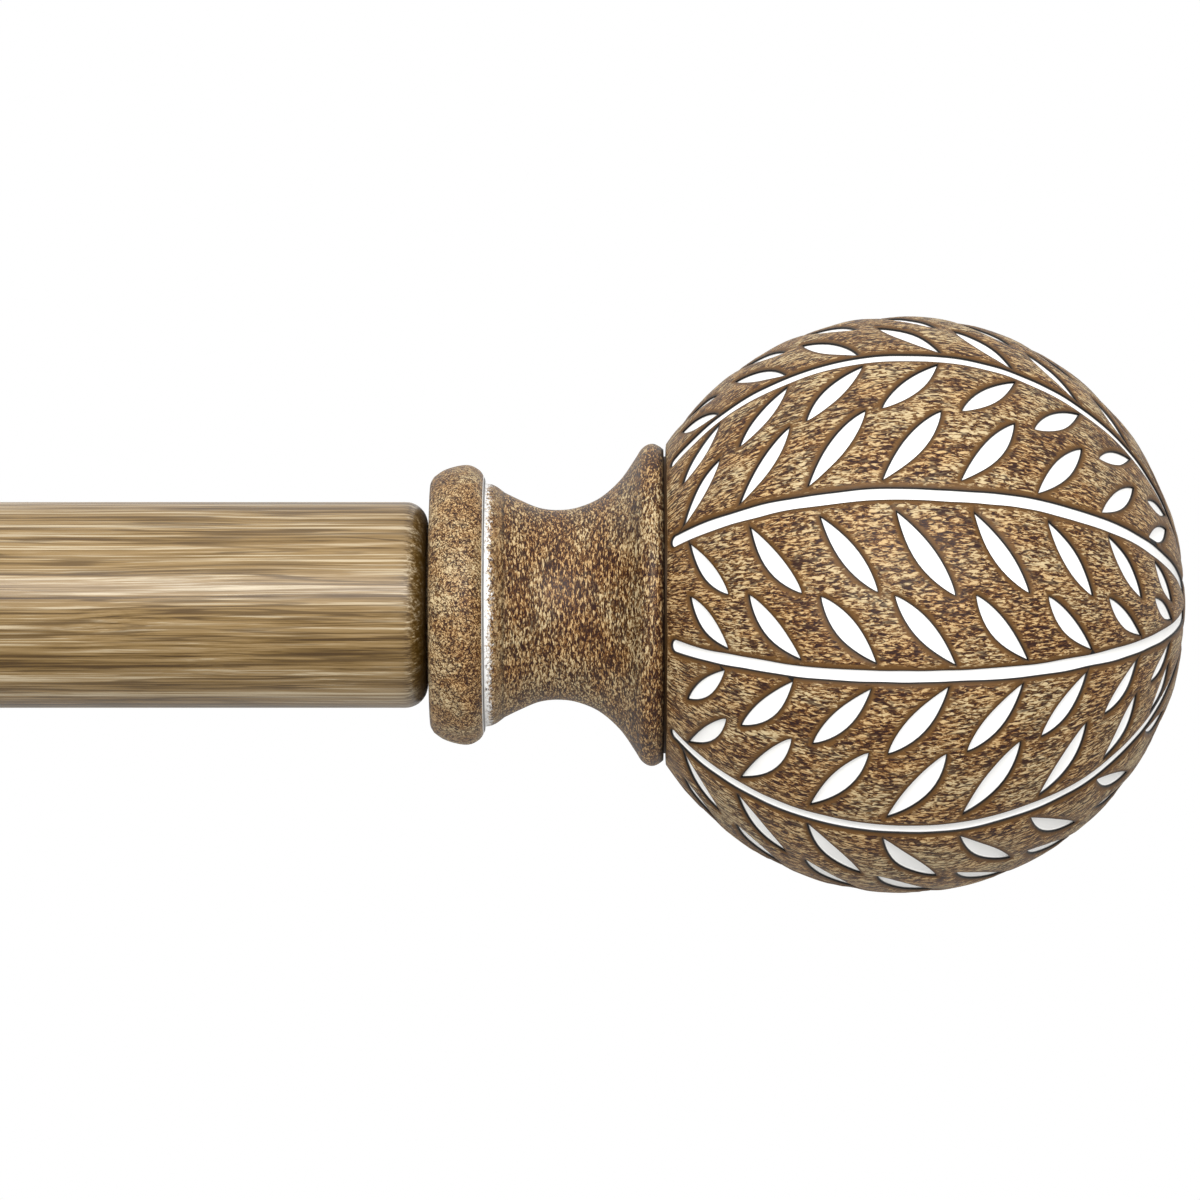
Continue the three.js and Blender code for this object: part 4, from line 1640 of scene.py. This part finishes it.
def place_bronze(piece, where, body, node):
    """Lays a bronze piece in the frame, with its wear marked."""
    mark_wear(piece.data)
    place(piece, where, body, node, bronze())


class CURTAINROD_OT_plates(bpy.types.Operator):
    """Make the wall plates"""

    bl_idname = "curtain_rod.plates"
    bl_label = "Wall plates"

    def execute(self, context):
        for side in SIDES:
            x, z = bracket_place(side)
            plate = wall_plate(f"{side}_rose")
            where = at(x, 0, z, FROM_WALL)
            place_bronze(plate, where, f"{side}_bracket", f"{side}_wall_plate")
        return {"FINISHED"}


class CURTAINROD_OT_arms(bpy.types.Operator):
    """Make the arms' sleeves and sliding bars"""

    bl_idname = "curtain_rod.arms"
    bl_label = "Arms"

    def execute(self, context):
        for side in SIDES:
            x, z = bracket_place(side)
            where = at(x, 0, z, FROM_WALL)
            sleeve = arm_sleeve(f"{side}_sleeve")
            place_bronze(sleeve, where, f"{side}_bracket", f"{side}_arm_sleeve")
            bar = arm_bar(f"{side}_bar")
            place_bronze(bar, where, f"{side}_cradle", f"{side}_arm_bar")
        return {"FINISHED"}


class CURTAINROD_OT_cups(bpy.types.Operator):
    """Make the cups that hold the rod"""

    bl_idname = "curtain_rod.cups"
    bl_label = "Cups"

    def execute(self, context):
        for side in SIDES:
            x, z = bracket_place(side)
            cup = cradle_cup(f"{side}_cup")
            place_bronze(cup, at(x, AXIS_Y, z), f"{side}_cradle", f"{side}_cradle_cup")
        return {"FINISHED"}


class CURTAINROD_OT_thumb_screws(bpy.types.Operator):
    """Make the set screws, the lock screws and their ribbed grips"""

    bl_idname = "curtain_rod.thumb_screws"
    bl_label = "Thumb screws"

    def execute(self, context):
        ribs = context.scene.bracket_look.knurls
        for side in SIDES:
            x, z = bracket_place(side)
            tip = TUBE_RADIUS[side] + GAP
            spots = {
                "set": at(x, AXIS_Y - tip, z, FROM_WALL),
                "lock": at(x, -LOCK_PLACE, z - BAR_RADIUS - GAP, DOWNWARDS),
            }
            for use, where in spots.items():
                shank = thumb_shank(f"{side}_{use}_shank", zinc())
                place(shank, where, f"{side}_{use}_screw", f"{side}_{use}_screw",
                      zinc())
                grip = thumb_grip(f"{side}_{use}_grip", bronze(), ribs)
                place_bronze(grip, where, f"{side}_{use}_knob", f"{side}_{use}_knob")
        return {"FINISHED"}


class CURTAINROD_OT_wall_fixings(bpy.types.Operator):
    """Make the wall screws and their plastic plugs"""

    bl_idname = "curtain_rod.wall_fixings"
    bl_label = "Wall screws and plugs"

    def execute(self, context):
        for side in SIDES:
            x, z = bracket_place(side)
            for spot, offset in (("top", SCREW_OFFSET), ("bottom", -SCREW_OFFSET)):
                where = at(x, 0, z + offset, FROM_WALL)
                screw = wall_screw(f"{side}_fixing_{spot}", bronze())
                place_bronze(screw, where, f"{side}_bracket", f"{side}_wall_screw_{spot}")
                plug = wall_anchor(f"{side}_plug_{spot}", white_nylon())
                place(plug, where, f"{side}_bracket", f"{side}_wall_anchor_{spot}",
                      white_nylon())
        return {"FINISHED"}


# ------------------------------------------------------------------ stage

CAMERA_X = 0.1212
CAMERA_RISE = 0.0006
FLOOR_DROP = 0.25
FLOOR_RADIUS = 2.0


def area_light(name, power, width, height, place_at, target):
    """A soft rectangular light aimed at a point."""
    data = bpy.data.lights.new(name, "AREA")
    data.shape = "RECTANGLE"
    data.size, data.size_y = width, height
    data.energy = power
    lamp = bpy.data.objects.new(name, data)
    lamp.location = place_at
    aim = Vector(target) - Vector(place_at)
    lamp.rotation_euler = aim.to_track_quat("-Z", "Y").to_euler()
    bpy.context.scene.collection.objects.link(lamp)
    return lamp


def pale_floor(shade):
    """A round floor with a soft eased rim, well below the object."""
    outline = [(0, 0), (FLOOR_RADIUS, 0), (FLOOR_RADIUS, -0.01), (0, -0.01)]
    floor = raw("floor", turned(softened(outline, 0.004), 96))
    middle_x = (cad_low.x + cad_high.x) / 2
    floor.location = (middle_x, AXIS_Y * MM, cad_low.z - FLOOR_DROP)
    mix = Finish("pale floor")
    grain = mix.noise(mix.stretched(mix.place_mm(), (0.02,) * 3), 3.0)
    slightly = tuple(part * 0.95 for part in shade[:3]) + (1.0,)
    mix.finished(Base_Color=mix.mix(grain, tuple(shade), slightly), Roughness=0.85)
    floor.data.materials.append(mix.material)


class CURTAINROD_OT_stage(bpy.types.Operator):
    """Set up the camera, the lights, the white surround and the floor"""

    bl_idname = "curtain_rod.stage"
    bl_label = "Stage"

    def execute(self, context):
        scene = context.scene
        look = scene.stage_look
        lens = bpy.data.cameras.new("camera")
        lens.lens = look.lens
        lens.sensor_width = 36
        lens.clip_start = 0.01
        camera = bpy.data.objects.new("camera", lens)
        camera.location = (CAMERA_X, AXIS_Y * MM - look.distance, CAMERA_RISE)
        camera.rotation_euler = (math.pi / 2, 0, 0)
        scene.collection.objects.link(camera)
        scene.camera = camera
        scene.view_settings.view_transform = "Standard"
        surround = bpy.data.worlds.new("white surround")
        surround.use_nodes = True
        background = surround.node_tree.nodes["Background"]
        background.inputs["Color"].default_value = (1, 1, 1, 1)
        background.inputs["Strength"].default_value = look.surround
        scene.world = surround
        target = (CAMERA_X - 0.1, AXIS_Y * MM, 0)
        area_light("front_light", look.key, 1.3, 0.4, (0.05, -1.25, 0.42), target)
        area_light("top_light", look.key * 0.15, 1.2, 0.8, (-0.1, -0.3, 1.1), target)
        pale_floor(look.floor)
        return {"FINISHED"}


# ------------------------------------------------------------------ panel and running

OPERATORS = (
    CURTAINROD_OT_stage,
    CURTAINROD_OT_tubes,
    CURTAINROD_OT_necks,
    CURTAINROD_OT_balls,
    CURTAINROD_OT_studs,
    CURTAINROD_OT_plates,
    CURTAINROD_OT_arms,
    CURTAINROD_OT_cups,
    CURTAINROD_OT_thumb_screws,
    CURTAINROD_OT_wall_fixings,
)
LOOKS = {
    "stage_look": StageLook,
    "tube_look": TubeLook,
    "finial_look": FinialLook,
    "bracket_look": BracketLook,
}


class CURTAINROD_PT_panel(bpy.types.Panel):
    """The sizes and colours, and a button for each group of pieces"""

    bl_idname = "CURTAINROD_PT_panel"
    bl_label = "Curtain rod"
    bl_space_type = "VIEW_3D"
    bl_region_type = "UI"
    bl_category = "Curtain Rod"

    def draw(self, context):
        for look in LOOKS:
            box = self.layout.box()
            settings = getattr(context.scene, look)
            for name in settings.bl_rna.properties.keys():
                if name not in ("rna_type", "name"):
                    box.prop(settings, name)
        for operator in OPERATORS:
            self.layout.operator(operator.bl_idname)


def register():
    for kind in (*LOOKS.values(), *OPERATORS, CURTAINROD_PT_panel):
        bpy.utils.register_class(kind)
    for name, kind in LOOKS.items():
        setattr(bpy.types.Scene, name, PointerProperty(type=kind))


def unregister():
    for name in LOOKS:
        delattr(bpy.types.Scene, name)
    for kind in reversed((*LOOKS.values(), *OPERATORS, CURTAINROD_PT_panel)):
        bpy.utils.unregister_class(kind)


def main():
    """Builds the whole object and its stage."""
    register()
    for operator in OPERATORS:
        group, action = operator.bl_idname.split(".")
        getattr(getattr(bpy.ops, group), action)()


if __name__ == "__main__":
    main()
